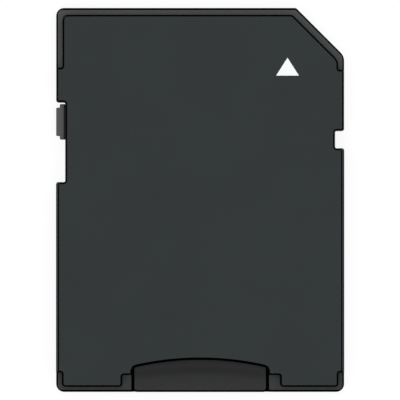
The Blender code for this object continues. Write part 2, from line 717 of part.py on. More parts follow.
def lock_pocket_cutters():
    """The lock slider's pocket inside the left wall, and the window through which its neck reaches out."""
    top = RIM_HEIGHT + OVERCUT
    rail_front = LOCK_MID_Y + LOCK_RAIL_LENGTH / 2 + LOCK_END_PLAY
    arm_rear = LOCK_MID_Y - LOCK_RAIL_LENGTH / 2 - LOCK_ARM_LENGTH - LOCK_TRAVEL - LOCK_END_PLAY
    pocket = rectangle(LOCK_POCKET_OUTER_X, LOCK_POCKET_OUTER_X + LOCK_POCKET_WIDTH, arm_rear, rail_front)
    neck_front = LOCK_MID_Y + LOCK_NECK_LENGTH / 2 + LOCK_END_PLAY / 2
    neck_rear = LOCK_MID_Y - LOCK_NECK_LENGTH / 2 - LOCK_TRAVEL - LOCK_END_PLAY / 2
    window = rectangle(-HALF_WIDTH, LOCK_POCKET_OUTER_X + OVERCUT, neck_rear, neck_front)
    return [
        prism("lock_pocket", pocket, LOCK_FLOOR_HEIGHT, top),
        prism("lock_window", window, LOCK_FLOOR_HEIGHT, top),
    ]


def latch_pocket_cutters():
    """The latch spring's pocket beside the slot, with its anchor slit and its opening to the slot."""
    top = RIM_HEIGHT + OVERCUT
    inner = LATCH_LINE_X - LATCH_THICKNESS / 2 - RUNNING
    outer = LATCH_LINE_X + LATCH_THICKNESS / 2 + LATCH_POCKET_PLAY
    rear = LATCH_NOTCH_Y - LATCH_BUMP_LENGTH / 2 - LATCH_POCKET_PLAY
    front = LATCH_ANCHOR_Y + LATCH_THICKNESS / 2 + RUNNING
    slit_outer = LATCH_LINE_X + LATCH_ANCHOR_LENGTH + RUNNING + LATCH_POCKET_PLAY / 2
    slit_rear = LATCH_ANCHOR_Y - LATCH_THICKNESS / 2 - RUNNING
    opening_front = LATCH_NOTCH_Y + LATCH_BUMP_LENGTH / 2
    return [
        prism("latch_pocket", rectangle(inner, outer, rear, front), SLOT_FLOOR_HEIGHT, top),
        prism("latch_slit", rectangle(inner, slit_outer, slit_rear, front), SLOT_FLOOR_HEIGHT, top),
        prism("latch_opening", rectangle(CARD_HALF_WIDTH, inner + RUNNING, rear, opening_front),
              SLOT_FLOOR_HEIGHT, top),
    ]


def side_bay_cutters():
    """The cored bays beside the slot, split by a rib, which keep the wall even in the moulding."""
    slot_side = MOUTH_WIDTH / 2 + SIDE_BAY_SLOT_WALL
    latch_side = LATCH_LINE_X + LATCH_ANCHOR_LENGTH + LATCH_POCKET_PLAY + SIDE_BAY_WALL
    outer = HALF_WIDTH - SIDE_BAY_WALL
    rear = -HALF_LENGTH + REAR_SIDE_RIM_LENGTH + SIDE_BAY_REAR_WALL
    front = min(FINGER_ROOT_Y, LOCK_NOTCH_REAR_Y) - SIDE_BAY_FRONT_WALL
    middle = (rear + front) / 2
    half_rib = SIDE_BAY_RIB / 2
    cutters = []
    for side, inner in (("left", -slot_side), ("right", latch_side)):
        low, high = sorted((inner, math.copysign(outer, inner)))
        for end, y0, y1 in (("rear", rear, middle - half_rib), ("front", middle + half_rib, front)):
            bay = rectangle(low, high, y0, y1)
            cutters.append(prism(f"{side}_{end}_bay", bay, SIDE_BAY_FLOOR, RIM_HEIGHT + OVERCUT))
    return cutters


def make_base_shell(material):
    """The lower half: rim, seams, pad windows with ribs between them, pockets and the small card's slot."""
    top = RIM_HEIGHT + OVERCUT
    base = prism("base_shell", housing_outline(), 0.0, RIM_HEIGHT, material, UNDERSIDE_EDGE, RIM_EDGE)
    pit = rectangle(-CARD_HALF_WIDTH + PIT_SIDE_LEDGE, CARD_KEY_X - PIT_SIDE_LEDGE,
                    CARD_FRONT_Y - PIT_LENGTH, FINGER_ROOT_Y)
    mouth = rectangle(-MOUTH_WIDTH / 2, MOUTH_WIDTH / 2,
                      -HALF_LENGTH - OVERCUT, -HALF_LENGTH + MOUTH_SIDE_LENGTH)
    pocket = np.array(carrier_corners(0.0))
    cutters = [
        prism("carrier_pocket", pocket, WINDOW_DEPTH, top),
        prism("card_slot", slot_outline(FINGER_ROOT_Y + OVERCUT), SLOT_FLOOR_HEIGHT, top),
        prism("finger_pit", pit, PIT_FLOOR_THICKNESS, top),
        prism("mouth_flare", mouth, SLOT_FLOOR_HEIGHT, top),
        *lock_pocket_cutters(),
        *latch_pocket_cutters(),
        *side_bay_cutters(),
        *groove_cutters(),
    ]
    for contact in host_contacts():
        cutters.append(window_cutter(contact))
        cutters.append(pad_opening_cutter(contact))
    combine(base, cutters, "DIFFERENCE")
    pegs = [peg(f"base_peg_{i}", place, PEG_RADIUS, WINDOW_DEPTH / 2, RIM_HEIGHT - 2 * RUNNING)
            for i, place in enumerate(peg_places())]
    combine(base, pegs, "UNION")


def make_top_cover(material):
    """The upper half: a plate with rounded edges, hollowed over the small card's slot and below the ink."""
    cover = prism("top_cover", cover_outline(), RIM_HEIGHT + SEAT, HOUSING_THICKNESS, material,
                  COVER_LOWER_EDGE, PLATE_EDGE)
    roof = prism("slot_roof", slot_outline(STOP_Y), RIM_HEIGHT - OVERCUT, SLOT_ROOF_Z)
    arrow = prism("arrow_recess", arrow_outline(SEAT), INK_BOTTOM_Z - INK_LIFT, HOUSING_THICKNESS + OVERCUT)
    combine(cover, [roof, arrow], "DIFFERENCE")


def make_contact_carrier(material):
    """The insulator: a plate over the strips, a comb between them and a tongue that stops the small card."""
    top = RIM_HEIGHT - SEAT
    above_strips = STRIP_MID_Z + STRIP_THICKNESS / 2 + CHANNEL_CLEARANCE
    outline = np.array(carrier_corners(RUNNING))
    carrier = prism("contact_carrier", outline, above_strips, top, material)
    comb_y = STOP_Y + COMB_FROM_STOP
    comb_outline = np.array([(x, max(y, comb_y)) for x, y in outline])
    comb = prism("carrier_comb", comb_outline, WINDOW_DEPTH + SEAT, above_strips + OVERCUT / 2)
    tongue = rectangle(-CARD_HALF_WIDTH, CARD_KEY_X, STOP_Y, FINGER_ROOT_Y + OVERCUT)
    stop = prism("carrier_tongue", tongue, above_strips, top)
    combine(carrier, [comb, stop], "UNION")
    holes = [peg(f"carrier_hole_{i}", place, PEG_RADIUS + RUNNING, -OVERCUT, RIM_HEIGHT + OVERCUT)
             for i, place in enumerate(peg_places())]
    combine(carrier, make_contacts(grow=CHANNEL_CLEARANCE) + holes, "DIFFERENCE")


def make_contact_strips(material):
    """The stamped strips. The ground strip and its return are joined, so both are one piece."""
    strips = {strip.name: strip for strip in make_contacts(material=material)}
    combine(strips["contact_ground"], [strips["contact_ground_return"]], "UNION")


def make_lock_slider(material):
    """The write-protect slider: thumb piece, neck through the wall, inner rail and springy arm.

    The arm bows inwards along a half sine wave and stops after LOCK_ARM_BOW of it, so its tip turns back.
    """
    slide = add_empty("lock_slide", (0.0, LOCK_MID_Y, 0.0))
    bottom = LOCK_FLOOR_HEIGHT + RUNNING
    top = RIM_HEIGHT - RUNNING
    tip_x = -HALF_WIDTH
    root_x = tip_x + THUMB_TIP_DEPTH
    wall_outer = LOCK_NOTCH_FLOOR_X - RUNNING
    wall_inner = LOCK_POCKET_OUTER_X + RUNNING
    rail_x = wall_inner + LOCK_RAIL_WIDTH
    thumb, tip = THUMB_LENGTH / 2, THUMB_TIP_LENGTH / 2
    neck, rail = LOCK_NECK_LENGTH / 2, LOCK_RAIL_LENGTH / 2
    half = [
        (rail_x, rail, 0),
        (wall_inner, rail, 0),
        (wall_inner, neck, 0),
        (wall_outer, neck, 0),
        (wall_outer, thumb, 0),
        (root_x, thumb, THUMB_CORNER_RADIUS),
        (root_x, tip, 0),
        (tip_x, tip, THUMB_CORNER_RADIUS),
    ]
    outline = rounded(half + [(x, -y, r) for x, y, r in reversed(half)])
    slider = prism("lock_slider", outline, bottom, top, material, LOCK_EDGE, LOCK_EDGE, slide)
    arm_x = rail_x - LOCK_ARM_WIDTH
    touch_x = LOCK_POCKET_OUTER_X + LOCK_POCKET_WIDTH - RUNNING - LOCK_ARM_WIDTH / 2
    fractions = np.arange(CURVE_STEPS + 1) / CURVE_STEPS
    arm_y = -rail - fractions * LOCK_ARM_LENGTH
    arm_plan = smooth_step(arm_x, touch_x, np.sin(np.pi * LOCK_ARM_BOW * fractions))
    middle_z = (bottom + top) / 2
    path = [(arm_x, -rail + OVERCUT, middle_z)] + [(x, y, middle_z) for x, y in zip(arm_plan, arm_y)]
    arm = ribbon("lock_arm", path, LOCK_ARM_WIDTH, top - bottom - 2 * LOCK_ARM_SET_BACK, parent=slide)
    combine(slider, [arm], "UNION")


def make_latch_spring(material):
    """A leaf on edge: hooked anchor at its front, straight arm, round bump in the small card's notch."""
    middle_z = SLOT_FLOOR_HEIGHT + RUNNING + LATCH_HEIGHT / 2
    bump_front = LATCH_NOTCH_Y + LATCH_BUMP_LENGTH / 2
    peak_x = CARD_HALF_WIDTH - LATCH_REACH + LATCH_THICKNESS / 2
    fractions = np.arange(2 * CURVE_STEPS + 1) / (2 * CURVE_STEPS)
    bump_y = bump_front - fractions * LATCH_BUMP_LENGTH
    bump_x = LATCH_LINE_X + (peak_x - LATCH_LINE_X) * np.sin(np.pi * fractions) ** 2
    hook_x = LATCH_LINE_X + LATCH_ANCHOR_LENGTH
    path = [(hook_x, LATCH_ANCHOR_Y, middle_z), (LATCH_LINE_X, LATCH_ANCHOR_Y, middle_z)]
    path += [(x, y, middle_z) for x, y in zip(bump_x, bump_y)]
    ribbon("card_latch_spring", path, LATCH_THICKNESS, LATCH_HEIGHT, material)


def ridge_solid(parent):
    """The thumb ridge: a level crest, a hollow slope that follows an arc and a rounded rear edge.

    Its sections lie across the card. At both ends they draw in round the card's rear corners.
    """
    half = CARD_HALF_WIDTH - RIDGE_SIDE_MARGIN
    straight = CARD_HALF_WIDTH - SMALL_CARD_REAR_RADIUS
    turn = np.pi / 2 * np.arange(EDGE_STEPS + 1) / EDGE_STEPS
    corner_x = straight + (half - straight) * np.sin(turn)
    corner_y = SMALL_CARD_REAR_RADIUS * (1 - np.cos(turn))
    middle_x = np.linspace(-straight, straight, MOUTH_STEPS + 1)[1:-1]
    section_x = np.concatenate((-corner_x[::-1], middle_x, corner_x))
    section_rear = np.concatenate((corner_y[::-1], 0 * middle_x, corner_y)) - SMALL_CARD_LENGTH
    base_z = SMALL_CARD_THICKNESS / 2
    crest_z = SMALL_CARD_THICKNESS + RIDGE_HEIGHT
    slope = np.arange(CURVE_STEPS + 1) / CURVE_STEPS
    slope_z = smooth_step(SMALL_CARD_THICKNESS, crest_z, slope) - RIDGE_FOOT_SUNK * (1 - slope)
    edge_z = crest_z - RIDGE_EDGE * (1 - np.cos(turn))
    heights = np.concatenate(([base_z], slope_z, edge_z, [base_z]))
    rings = []
    for x, rear in zip(section_x, section_rear):
        foot_y = -SMALL_CARD_LENGTH + RIDGE_LENGTH + RIDGE_CROWN * (1 - (x / half) ** 2)
        slope_y = foot_y - slope * RIDGE_SLOPE_LENGTH
        edge_y = rear + RIDGE_EDGE * (1 - np.sin(turn))
        along = np.concatenate(([foot_y], slope_y, edge_y, [rear]))
        rings.append(np.column_stack((np.full(len(along), x), along, heights)))
    return loft("thumb_ridge", rings, parent=parent)


def make_small_card(body_material, pad_material):
    """The small card in its own frame, its front edge at y = 0 and its contact side at z = 0."""
    slide = add_empty("small_card_slide", (0.0, CARD_FRONT_Y, CARD_BOTTOM_Z))
    notch_front = -SMALL_CARD_NOTCH_FROM_FRONT
    notch_rear = notch_front - SMALL_CARD_NOTCH_LENGTH
    notch_x = CARD_HALF_WIDTH - SMALL_CARD_NOTCH_DEPTH
    corners = small_card_corners()
    radii = [SMALL_CARD_REAR_RADIUS] * 2 + [0, 0] + [SMALL_CARD_FRONT_RADIUS] * 2
    outline = [(x, y, r) for (x, y), r in zip(corners, radii)]
    outline[2:2] = [
        (CARD_HALF_WIDTH, notch_rear, 0),
        (notch_x, notch_rear, 0),
        (notch_x, notch_front - SMALL_CARD_NOTCH_SLOPE, 0),
        (CARD_HALF_WIDTH, notch_front, 0),
    ]
    body = prism("small_card_body", rounded(outline), 0.0, SMALL_CARD_THICKNESS, body_material,
                 SMALL_CARD_EDGE, SMALL_CARD_EDGE, slide)
    recess_depth = PAD_SUNK + PAD_THICKNESS + SEAT / 2
    recesses = []
    for place in range(len(FINGERS)):
        x = small_pad_x(place)
        rear = -PAD_FROM_FRONT - PAD_LENGTH
        pad = rectangle(x - PAD_WIDTH / 2, x + PAD_WIDTH / 2, rear, -PAD_FROM_FRONT)
        hole = inset(pad, -SEAT)
        recesses.append(prism(f"pad_recess_{place + 1}", hole, -OVERCUT, recess_depth, parent=slide))
        prism(f"small_card_pad_{place + 1}", pad, PAD_SUNK, PAD_SUNK + PAD_THICKNESS, pad_material,
              parent=slide)
    combine(body, [ridge_solid(slide)], "UNION")
    combine(body, recesses, "DIFFERENCE")


def make_printed_arrow(material):
    """The white ink that fills the arrow's recess."""
    prism("printed_arrow", arrow_outline(), INK_BOTTOM_Z, HOUSING_THICKNESS, material)


def main():
    """Model every piece of the adapter and the small card."""
    clear_scene()
    cover_plastic = make_material("cover_plastic", (0.037, 0.042, 0.044), 0.6)
    base_plastic = make_material("base_plastic", (0.042, 0.044, 0.044), 0.55)
    slider_plastic = make_material("slider_plastic", (0.08, 0.08, 0.08), 0.5)
    insulator = make_material("insulator", (0.03, 0.03, 0.03), 0.6)
    card_plastic = make_material("card_plastic", (0.03, 0.032, 0.032), 0.45)
    gold = make_material("gold_plate", (0.83, 0.6, 0.22), 0.25, 1.0)
    spring_steel = make_material("spring_steel", (0.55, 0.55, 0.55), 0.3, 1.0)
    white_ink = make_material("white_ink", (0.95, 0.96, 0.96), 0.5)
    make_base_shell(base_plastic)
    make_top_cover(cover_plastic)
    make_contact_carrier(insulator)
    make_contact_strips(gold)
    make_lock_slider(slider_plastic)
    make_latch_spring(spring_steel)
    make_small_card(card_plastic, gold)
    make_printed_arrow(white_ink)


main()
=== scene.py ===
"""Looks of a full-size memory card adapter with a small memory card in its mouth.

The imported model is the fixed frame: X runs across the adapter, Y points to its contact end and Z up
through its label side, in metres. The base shell, the contact carrier, the contact strips and the latch
spring keep their solids and get their finishes. The other pieces are built again as finer surfaces over
the solids that they stand for.
"""

import math

import bpy
import numpy as np
from bpy.props import FloatProperty, FloatVectorProperty, PointerProperty
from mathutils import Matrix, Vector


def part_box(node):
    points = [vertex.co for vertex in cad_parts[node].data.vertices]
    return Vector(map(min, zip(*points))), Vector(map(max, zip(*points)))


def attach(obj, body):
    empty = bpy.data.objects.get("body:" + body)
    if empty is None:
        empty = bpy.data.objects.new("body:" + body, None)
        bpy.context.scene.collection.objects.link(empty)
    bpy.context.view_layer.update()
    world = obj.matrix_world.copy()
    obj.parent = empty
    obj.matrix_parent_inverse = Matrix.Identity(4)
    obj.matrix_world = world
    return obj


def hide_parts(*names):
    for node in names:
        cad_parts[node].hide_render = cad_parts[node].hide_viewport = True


bl_info = {
    "name": "Memory Card Adapter",
    "version": (1, 0, 0),
    "blender": (4, 5, 0),
    "location": "View3D > Sidebar > Card Adapter",
    "description": "Builds the looks of a memory card adapter around its packed model",
    "category": "Object",
}

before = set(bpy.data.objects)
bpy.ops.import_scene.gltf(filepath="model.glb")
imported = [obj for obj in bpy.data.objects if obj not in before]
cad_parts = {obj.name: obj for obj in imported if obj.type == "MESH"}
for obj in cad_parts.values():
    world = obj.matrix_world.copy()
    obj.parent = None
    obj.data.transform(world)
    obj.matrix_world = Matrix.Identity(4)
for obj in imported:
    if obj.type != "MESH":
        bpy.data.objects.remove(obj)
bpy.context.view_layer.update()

# Boxes of the solids that the finer surfaces follow
BASE_LOW, BASE_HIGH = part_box("base_shell")
COVER_LOW, COVER_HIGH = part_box("top_cover")
ARROW_LOW, ARROW_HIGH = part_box("printed_arrow")
CARD_LOW, CARD_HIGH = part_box("small_card_body")
SLIDER_LOW, SLIDER_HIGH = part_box("lock_slider")

HALF_WIDTH = (BASE_HIGH.x - BASE_LOW.x) / 2
HALF_LENGTH = (BASE_HIGH.y - BASE_LOW.y) / 2

NODES = sorted(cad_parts)
CARD_PADS = [name for name in NODES if name.startswith("small_card_pad_")]
STRIPS = [name for name in NODES if name.startswith("contact_") and name != "contact_carrier"]

# Faces with this upward part of the normal are level, and edges that turn more than this angle are sharp
LEVEL_FACE = 0.9995
SHARP_ANGLE = math.radians(32)

# TOUCHING keeps two faces out of one plane, and tells whether a point lies on a line. Points closer than
# SAME_POINT are one, and a corner whose bisector is shorter than STRAIGHT doesn't turn
TOUCHING = 0.000001
SAME_POINT = 1e-8
STRAIGHT = 1e-9

# How many steps or points the round shapes have
CORNER_STEPS = 12
EDGE_STEPS = 6
CROWN_STEPS = 48
RIDGE_POINTS_ACROSS = 65
RIDGE_POINTS_ALONG = 25
RIDGE_END_POINTS = 9
ARM_POINTS = 25

# The share of half a turn that the wave of the slider's arm covers
ARM_TURN = 0.6

# Where the painted shade of edges changes, on painted_edge_shade's scale, and the lean that it spares
EDGE_TURNED = 0.97
EDGE_LEVEL = 0.998
LEAN_SPARED = 0.03

# Faces with more than this upward part of the normal look up, the bottoms of seams lie below SEAM_TOP,
# and the painted shade along the rim's border fades over SHADE_BORDER_SOFTNESS
LOOKS_UP = 0.5
SEAM_TOP = BASE_HIGH.z - 0.0001
SHADE_BORDER_SOFTNESS = 0.00001

# The values between which most of a noise pattern lies
NOISE_SPAN = (0.3, 0.7)
CLOUD_SPAN = (0.35, 0.65)

# Moulded grain: its patterns' scales, the tones of its clouds, where its pits fade, and how far it
# changes the roughness and the height
GRAIN_SCALE = 9000.0
GRAIN_CLOUD_SCALE = 240.0
PIT_SCALE = 1300.0
GRAIN_CLOUD_TONES = (0.97, 1.03)
PIT_FADE = (0.03, 0.13)
GRAIN_ROUGHNESS = 0.06
GRAIN_DEPTH = 0.0000015

# Rolled metal: its patterns' scales, how streaks are drawn out, and what they add to the roughness
STREAK_SCALE = 22000.0
METAL_CLOUD_SCALE = 1400.0
STREAK_DRAWN = 0.04
STREAK_ROUGHNESS = (-0.07, 0.1)
METAL_CLOUD_TONES = (0.9, 1.04)
METAL_DEPTH = 0.000001

# Printed ink: the scale, the tones and the height of its mottling
MOTTLE_SCALE = 5000.0
MOTTLE_TONES = (0.98, 1.0)
MOTTLE_DEPTH = 0.000001

# The upward part of a direction where the dome starts and where it is full, and the same for the ground
DOME_SPAN = (0.05, 0.9)
GROUND_SPAN = (-0.9, 0.0)
WHITE = (1.0, 1.0, 1.0, 1.0)


def length(name, description, default):
    """A size in metres that a user may change."""
    return FloatProperty(name=name, description=description, default=default, min=0.0, precision=6,
                         unit="LENGTH")


def colour(name, description, default):
    """A linear colour that a user may change."""
    return FloatVectorProperty(name=name, description=description, default=default, size=3, min=0.0,
                               max=1.0, subtype="COLOR")


def amount(name, description, default, **limits):
    """Any other number that a user may change, with its limits and its subtype."""
    return FloatProperty(name=name, description=description, default=default, **limits)


class AdapterSizes(bpy.types.PropertyGroup):
    """Sizes of the adapter's pieces that the frame's boxes don't give."""

    key_chamfer: length("Key chamfer", "Both legs of the cut corner", 0.004)
    lock_notch_from_front: length("Lock notch place", "From the contact end to the lock notch", 0.00788)
    lock_notch_length: length("Lock notch length", "Along the left side", 0.00663)
    lock_notch_depth: length("Lock notch depth", "Into the left side", 0.00075)
    side_notch_from_front: length("Side notch place", "From the contact end to the side notch", 0.01026)
    side_notch_length: length("Side notch length", "Along the right side", 0.00143)
    side_notch_depth: length("Side notch depth", "Into the right side", 0.00075)
    notch_radius: length("Notch radius", "Outer corners of the notches", 0.0002)
    notch_inner_radius: length("Notch inner radius", "Inner corners of the notches", 0.00013)
    front_rim: length("Front rim", "Rim that shows before the cover", 0.00065)
    left_rim: length("Left rim", "Rim that shows on the left", 0.00061)
    right_rim: length("Right rim", "Rim that shows on the right", 0.00058)
    chamfer_rim: length("Chamfer rim", "Rim that shows along the key chamfer", 0.0007)
    left_rim_length: length("Left rim length", "How far back the left rim reaches", 0.00506)
    right_rim_length: length("Right rim length", "How far back the right rim reaches", 0.00523)
    rear_rim: length("Rear rim", "Rim that shows behind the cover", 0.0005)
    rear_side_rim: length("Rear side rim", "Rim beside the cover at the rear", 0.00056)
    rear_side_rim_length: length("Rear side rim length", "How far forward that rim reaches", 0.0017)
    plate_corner: length("Plate corner", "Radius of the cover's front corners", 0.00045)
    plate_key: length("Plate key corner", "Radius where the cover's chamfer meets its side", 0.0008)
    plate_step: length("Plate step", "Radius where the cover steps in for the rims", 0.0002)
    side_ledge: length("Side ledge", "Width of the low ledge along the sides behind the notches", 0.00016)
    ledge_depth: length("Ledge depth", "From the cover's face down to that ledge", 0.00008)
    ledge_edge: length("Ledge edge", "Radius of the ledge's outer edge", 0.00001)
    plate_edge: length("Plate edge", "Radius of the cover's upper edge at its sides and notches", 0.00011)
    step_edge: length("Step edge", "Radius of the cover's upper edge along the ledges", 0.0001)
    seam_edge: length("Seam edge", "Radius of the cover's upper edge along the rims", 0.00008)
    # Painted shade: rim_shade_border and end_border are how wide the base's rim is darkened near its
    # outline
    rim_shade_border: length("Rim border", "Dark moulded border of the base's rim along its sides", 0.00014)
    end_border: length("End border", "Dark moulded border of the base's rim at both ends", 0.00017)
    cover_foot: length("Cover foot", "Radius of the cover's lower edge", 0.00004)
    cover_draft: length("Cover draft", "How far the cover's sides lean in up to their top", 0.00007)
    mouth_lip: length("Mouth lip", "How far the mouth's wall leans out over the small card", 0.000145)
    mouth_edge: length("Mouth edge", "Radius of the cover's upper edge along the mouth", 0.00013)
    slot_roof: length("Slot roof", "Thickness of the cover over the small card", 0.00045)
    slot_clearance: length("Slot clearance", "Beside the small card", 0.00008)
    stop_gap: length("Stop gap", "Between the small card and its stop", 0.00005)
    mouth_width: length("Mouth width", "Opening for the small card", 0.01148)
    mouth_side: length("Mouth side", "Straight side of the mouth, from the rear", 0.00207)
    mouth_crown: length("Mouth crown", "Rise of the mouth's arc", 0.00069)
    mouth_corner: length("Mouth corner", "Radius where the arc starts", 0.0003)
    post_length: length("Post length", "Posts of the base beside the mouth", 0.00149)
    left_post: length("Left post", "Width of the left post", 0.00082)
    right_post: length("Right post", "Width of the right post", 0.00099)
    edge_taper: length("Edge taper", "Where the cover's edge changes its radius", 0.00015)
    ink_edge: length("Ink edge", "Soft edge of the printed arrow", 0.000008)
    ink_short_right: length("Ink short right", "What the print lacks of its solid on the right", 0.000055)
    ink_short_tip: length("Ink short tip", "What the print lacks of its solid at the tip", 0.00004)
    ink_gap: length("Ink gap", "Between the ink and its recess in the cover", 0.00001)
    card_key_width: length("Small card key", "Step in the small card's width", 0.0013)
    card_key_length: length("Small card key length", "How far back the narrow front reaches", 0.0064)
    card_front_radius: length("Small card front radius", "Front corners of the small card", 0.0005)
    card_rear_radius: length("Small card rear radius", "Rear corners of the small card", 0.00022)
    card_edge: length("Small card edge", "Radius of the small card's edges", 0.00005)
    card_thickness: length("Small card thickness", "Without its ridge", 0.0007)
    card_notch_from_front: length("Small card notch place", "From the small card's front", 0.0086)
    card_notch_length: length("Small card notch length", "Along its side", 0.0013)
    card_notch_depth: length("Small card notch depth", "Into its side", 0.0006)
    card_notch_slope: length("Small card notch slope", "Slanted front of the notch", 0.0003)
    ridge_length: length("Ridge length", "Thumb ridge with its slope, at the sides", 0.0019)
    ridge_crown: length("Ridge crown", "How much longer the ridge is in the middle", 0.00045)
    ridge_slope: length("Ridge slope", "Length of the slope up to the crest", 0.0011)
    ridge_margin: length("Ridge margin", "From the ridge to the small card's sides", 0.00003)
    ridge_edge: length("Ridge edge", "Radius of the ridge's rear edge", 0.00017)
    pad_recess_margin: length("Pad recess margin", "Gap round each pad of the small card", 0.00001)
    pad_corner: length("Pad corner", "Radius of the small card's pads", 0.00012)
    pad_edge: length("Pad edge", "Soft edge of the small card's pads", 0.000008)
    thumb_tip_length: length("Thumb tip length", "Outer face of the lock slider", 0.00237)
    thumb_tip_depth: length("Thumb tip depth", "How far the tip stands out", 0.0003)
    thumb_length: length("Thumb length", "Lock slider in the notch", 0.00296)
    thumb_corner: length("Thumb corner", "Corners of the lock slider", 0.0001)
    slider_edge: length("Slider edge", "Radius of the lock slider's edges", 0.00004)
    slider_inner_edge: length("Slider inner edge", "Radius of the thumb's edge along the wall", 0.00012)
    thumb_gap: length("Thumb gap", "Between the thumb and the wall behind it", 0.000015)
    neck_length: length("Neck length", "Neck of the lock slider through the wall", 0.0014)
    rail_length: length("Rail length", "Inner rail of the lock slider", 0.0024)
    rail_width: length("Rail width", "Inner rail of the lock slider", 0.0006)
    lock_wall: length("Lock wall", "Wall between the notch and the rail", 0.0005)
    running_gap: length("Running gap", "Between sliding faces", 0.00005)
    pocket_width: length("Pocket width", "Pocket that the rail and the arm run in", 0.001)
    arm_length: length("Arm length", "Springy arm behind the rail", 0.0015)
    arm_width: length("Arm width", "Thickness of the springy arm", 0.00025)
    arm_set_back: length("Arm set back", "Arm below and above the rail's faces", 0.00009)


class AdapterFinish(bpy.types.PropertyGroup):
    """Colours of the finishes."""

    cover: colour("Cover", "Dark slate grey of the matte cover", (0.0262, 0.0316, 0.033))
    # Painted light falloff: base_rear at the rear end, lighter towards base_front_lit at the contact end
    base_rear: colour("Base rear", "Near black of the base at its rear end", (0.034, 0.036, 0.036))
    base_front_lit: colour("Base front", "Lighter tone of the base at its contact end", (0.062, 0.067, 0.066))
    slider: colour("Slider", "Mid grey of the lock slider", (0.081, 0.081, 0.081))
    card: colour("Card", "Black of the small card at its rear edge", (0.026, 0.0265, 0.0265))
    # Painted shadow of the cover: the small card goes from card at its rear edge to the darker
    # card_shadowed inside
    card_shadowed: colour("Card inner", "Darker tone of the small card inside", (0.0135, 0.015, 0.014))
    insulator: colour("Insulator", "Black of the contact carrier", (0.02, 0.02, 0.02))
    gold: colour("Gold", "Plating of the contacts and pads", (0.86, 0.6, 0.25))
    steel: colour("Steel", "Rolled steel of the latch spring", (0.56, 0.55, 0.53))
    ink: colour("Ink", "White printing ink of the arrow", (0.93, 0.945, 0.96))


class AdapterStage(bpy.types.PropertyGroup):
    """Camera, lamps and floor."""

    camera_height: length("Camera height", "From the cover to the camera", 0.6)
    view_width: length("View width", "What the picture is wide at the cover", 0.0333)
    sensor_width: amount("Sensor width", "Camera sensor in millimetres", 36.0, min=1.0)
    aim_left: length("Aim left", "From the object's middle to the picture's, to the left", 0.0000125)
    aim_back: length("Aim back", "From the object's middle to the picture's, to the rear", 0.000005)
    floor_size: length("Floor size", "Side of the square floor", 3.0)
    floor_gap: length("Floor gap", "From the resting face to the floor", 0.00002)
    lamp_height: length("Lamp height", "From the floor to the overhead lamp", 0.5)
    lamp_size: length("Lamp size", "Side of the overhead lamp", 1.1)
    lamp_power: amount("Lamp power", "Power of the overhead lamp", 4.6, min=0.0)
    under_strength: amount("Under light", "Strength of the light from below", 2.0, min=0.0)
    under_angle: amount("Under angle", "Angle that the light from below spans", math.radians(20),
                        subtype="ANGLE")
    sky: amount("Sky", "Strength of the world straight up", 0.4, min=0.0)
    horizon: amount("Horizon", "Strength of the world at the horizon", 0.03, min=0.0)
    floor_tone: amount("Floor tone", "Share of the light that the floor returns", 0.15, min=0.0, max=1.0,
                       subtype="FACTOR")
    floor_lift: amount("Floor lift", "Added to the floor's tone where it is seen", 0.87, min=0.0)


# Meshes

def shade_by_form(mesh):
    """Shades curved faces smooth and level ones flat. Edges that turn more than SHARP_ANGLE stay sharp.

    The flags of the faces come last, because finding the sharp edges sets them all to smooth.
    """
    mesh.set_sharp_from_angle(angle=SHARP_ANGLE)
    normals = np.empty(len(mesh.polygons) * 3, np.float32)
    mesh.polygons.foreach_get("normal", normals)
    curved = np.abs(normals.reshape(-1, 3)[:, 2]) < LEVEL_FACE
    mesh.polygons.foreach_set("use_smooth", curved)
    mesh.update()


def closed_rings(name, rings, material):
    """An object from closed rings of equal count, an array (rings, points, 3), with both ends capped.

    Point i of a ring joins point i + 1 and the same two points of the next ring in one quad. Rings that
    turn anticlockwise seen against their direction of travel give faces that point outwards.
    """
    count, points, _ = rings.shape
    start = np.arange(count - 1)[:, None] * points
    here = start + np.arange(points)
    ahead = start + (np.arange(points) + 1) % points
    quads = np.stack((here, ahead, ahead + points, here + points), axis=-1).reshape(-1, 4)
    first = np.arange(points)[::-1]
    last = np.arange(points) + (count - 1) * points
    mesh = bpy.data.meshes.new(name)
    mesh.from_pydata(rings.reshape(-1, 3).tolist(), [], quads.tolist() + [first.tolist(), last.tolist()])
    mesh.materials.append(material)
    mesh.update()
    shade_by_form(mesh)
    piece = bpy.data.objects.new(name, mesh)
    bpy.context.scene.collection.objects.link(piece)
    return piece


def rounded_outline(corners, steps=CORNER_STEPS):
    """A closed outline from rows (x, y, radius), with each corner of a radius replaced by an arc.

    The arc's centre lies on the corner's bisector, radius / sin(half the corner's angle) away, and its
    ends lie radius / tan(half the angle) along both sides. Corners without a radius stay single points.
    """
    corners = np.asarray(corners, dtype=float)
    place, radius = corners[:, :2], corners[:, 2:]
    back = np.roll(place, 1, axis=0) - place
    ahead = np.roll(place, -1, axis=0) - place
    back /= np.linalg.norm(back, axis=1, keepdims=True)
    ahead /= np.linalg.norm(ahead, axis=1, keepdims=True)
    half = np.arccos(np.clip(np.sum(back * ahead, axis=1, keepdims=True), -1.0, 1.0)) / 2
    bisector = back + ahead
    size = np.linalg.norm(bisector, axis=1, keepdims=True)
    bisector = np.divide(bisector, size, out=np.zeros_like(bisector), where=size > STRAIGHT)
    centre = place + bisector * radius / np.sin(half)
    reach = np.where(radius > 0, radius / np.tan(half), 0.0)
    first = place + back * reach - centre
    last = place + ahead * reach - centre
    turn = np.arctan2(first[:, 0] * last[:, 1] - first[:, 1] * last[:, 0], np.sum(first * last, axis=1))
    angle = turn[:, None] * np.linspace(0.0, 1.0, steps + 1)
    cos, sin = np.cos(angle), np.sin(angle)
    x = centre[:, :1] + first[:, :1] * cos - first[:, 1:] * sin
    y = centre[:, 1:] + first[:, :1] * sin + first[:, 1:] * cos
    outline = np.stack((x, y), axis=-1).reshape(-1, 2)
    apart = np.linalg.norm(outline - np.roll(outline, 1, axis=0), axis=1) > SAME_POINT
    return outline[apart]


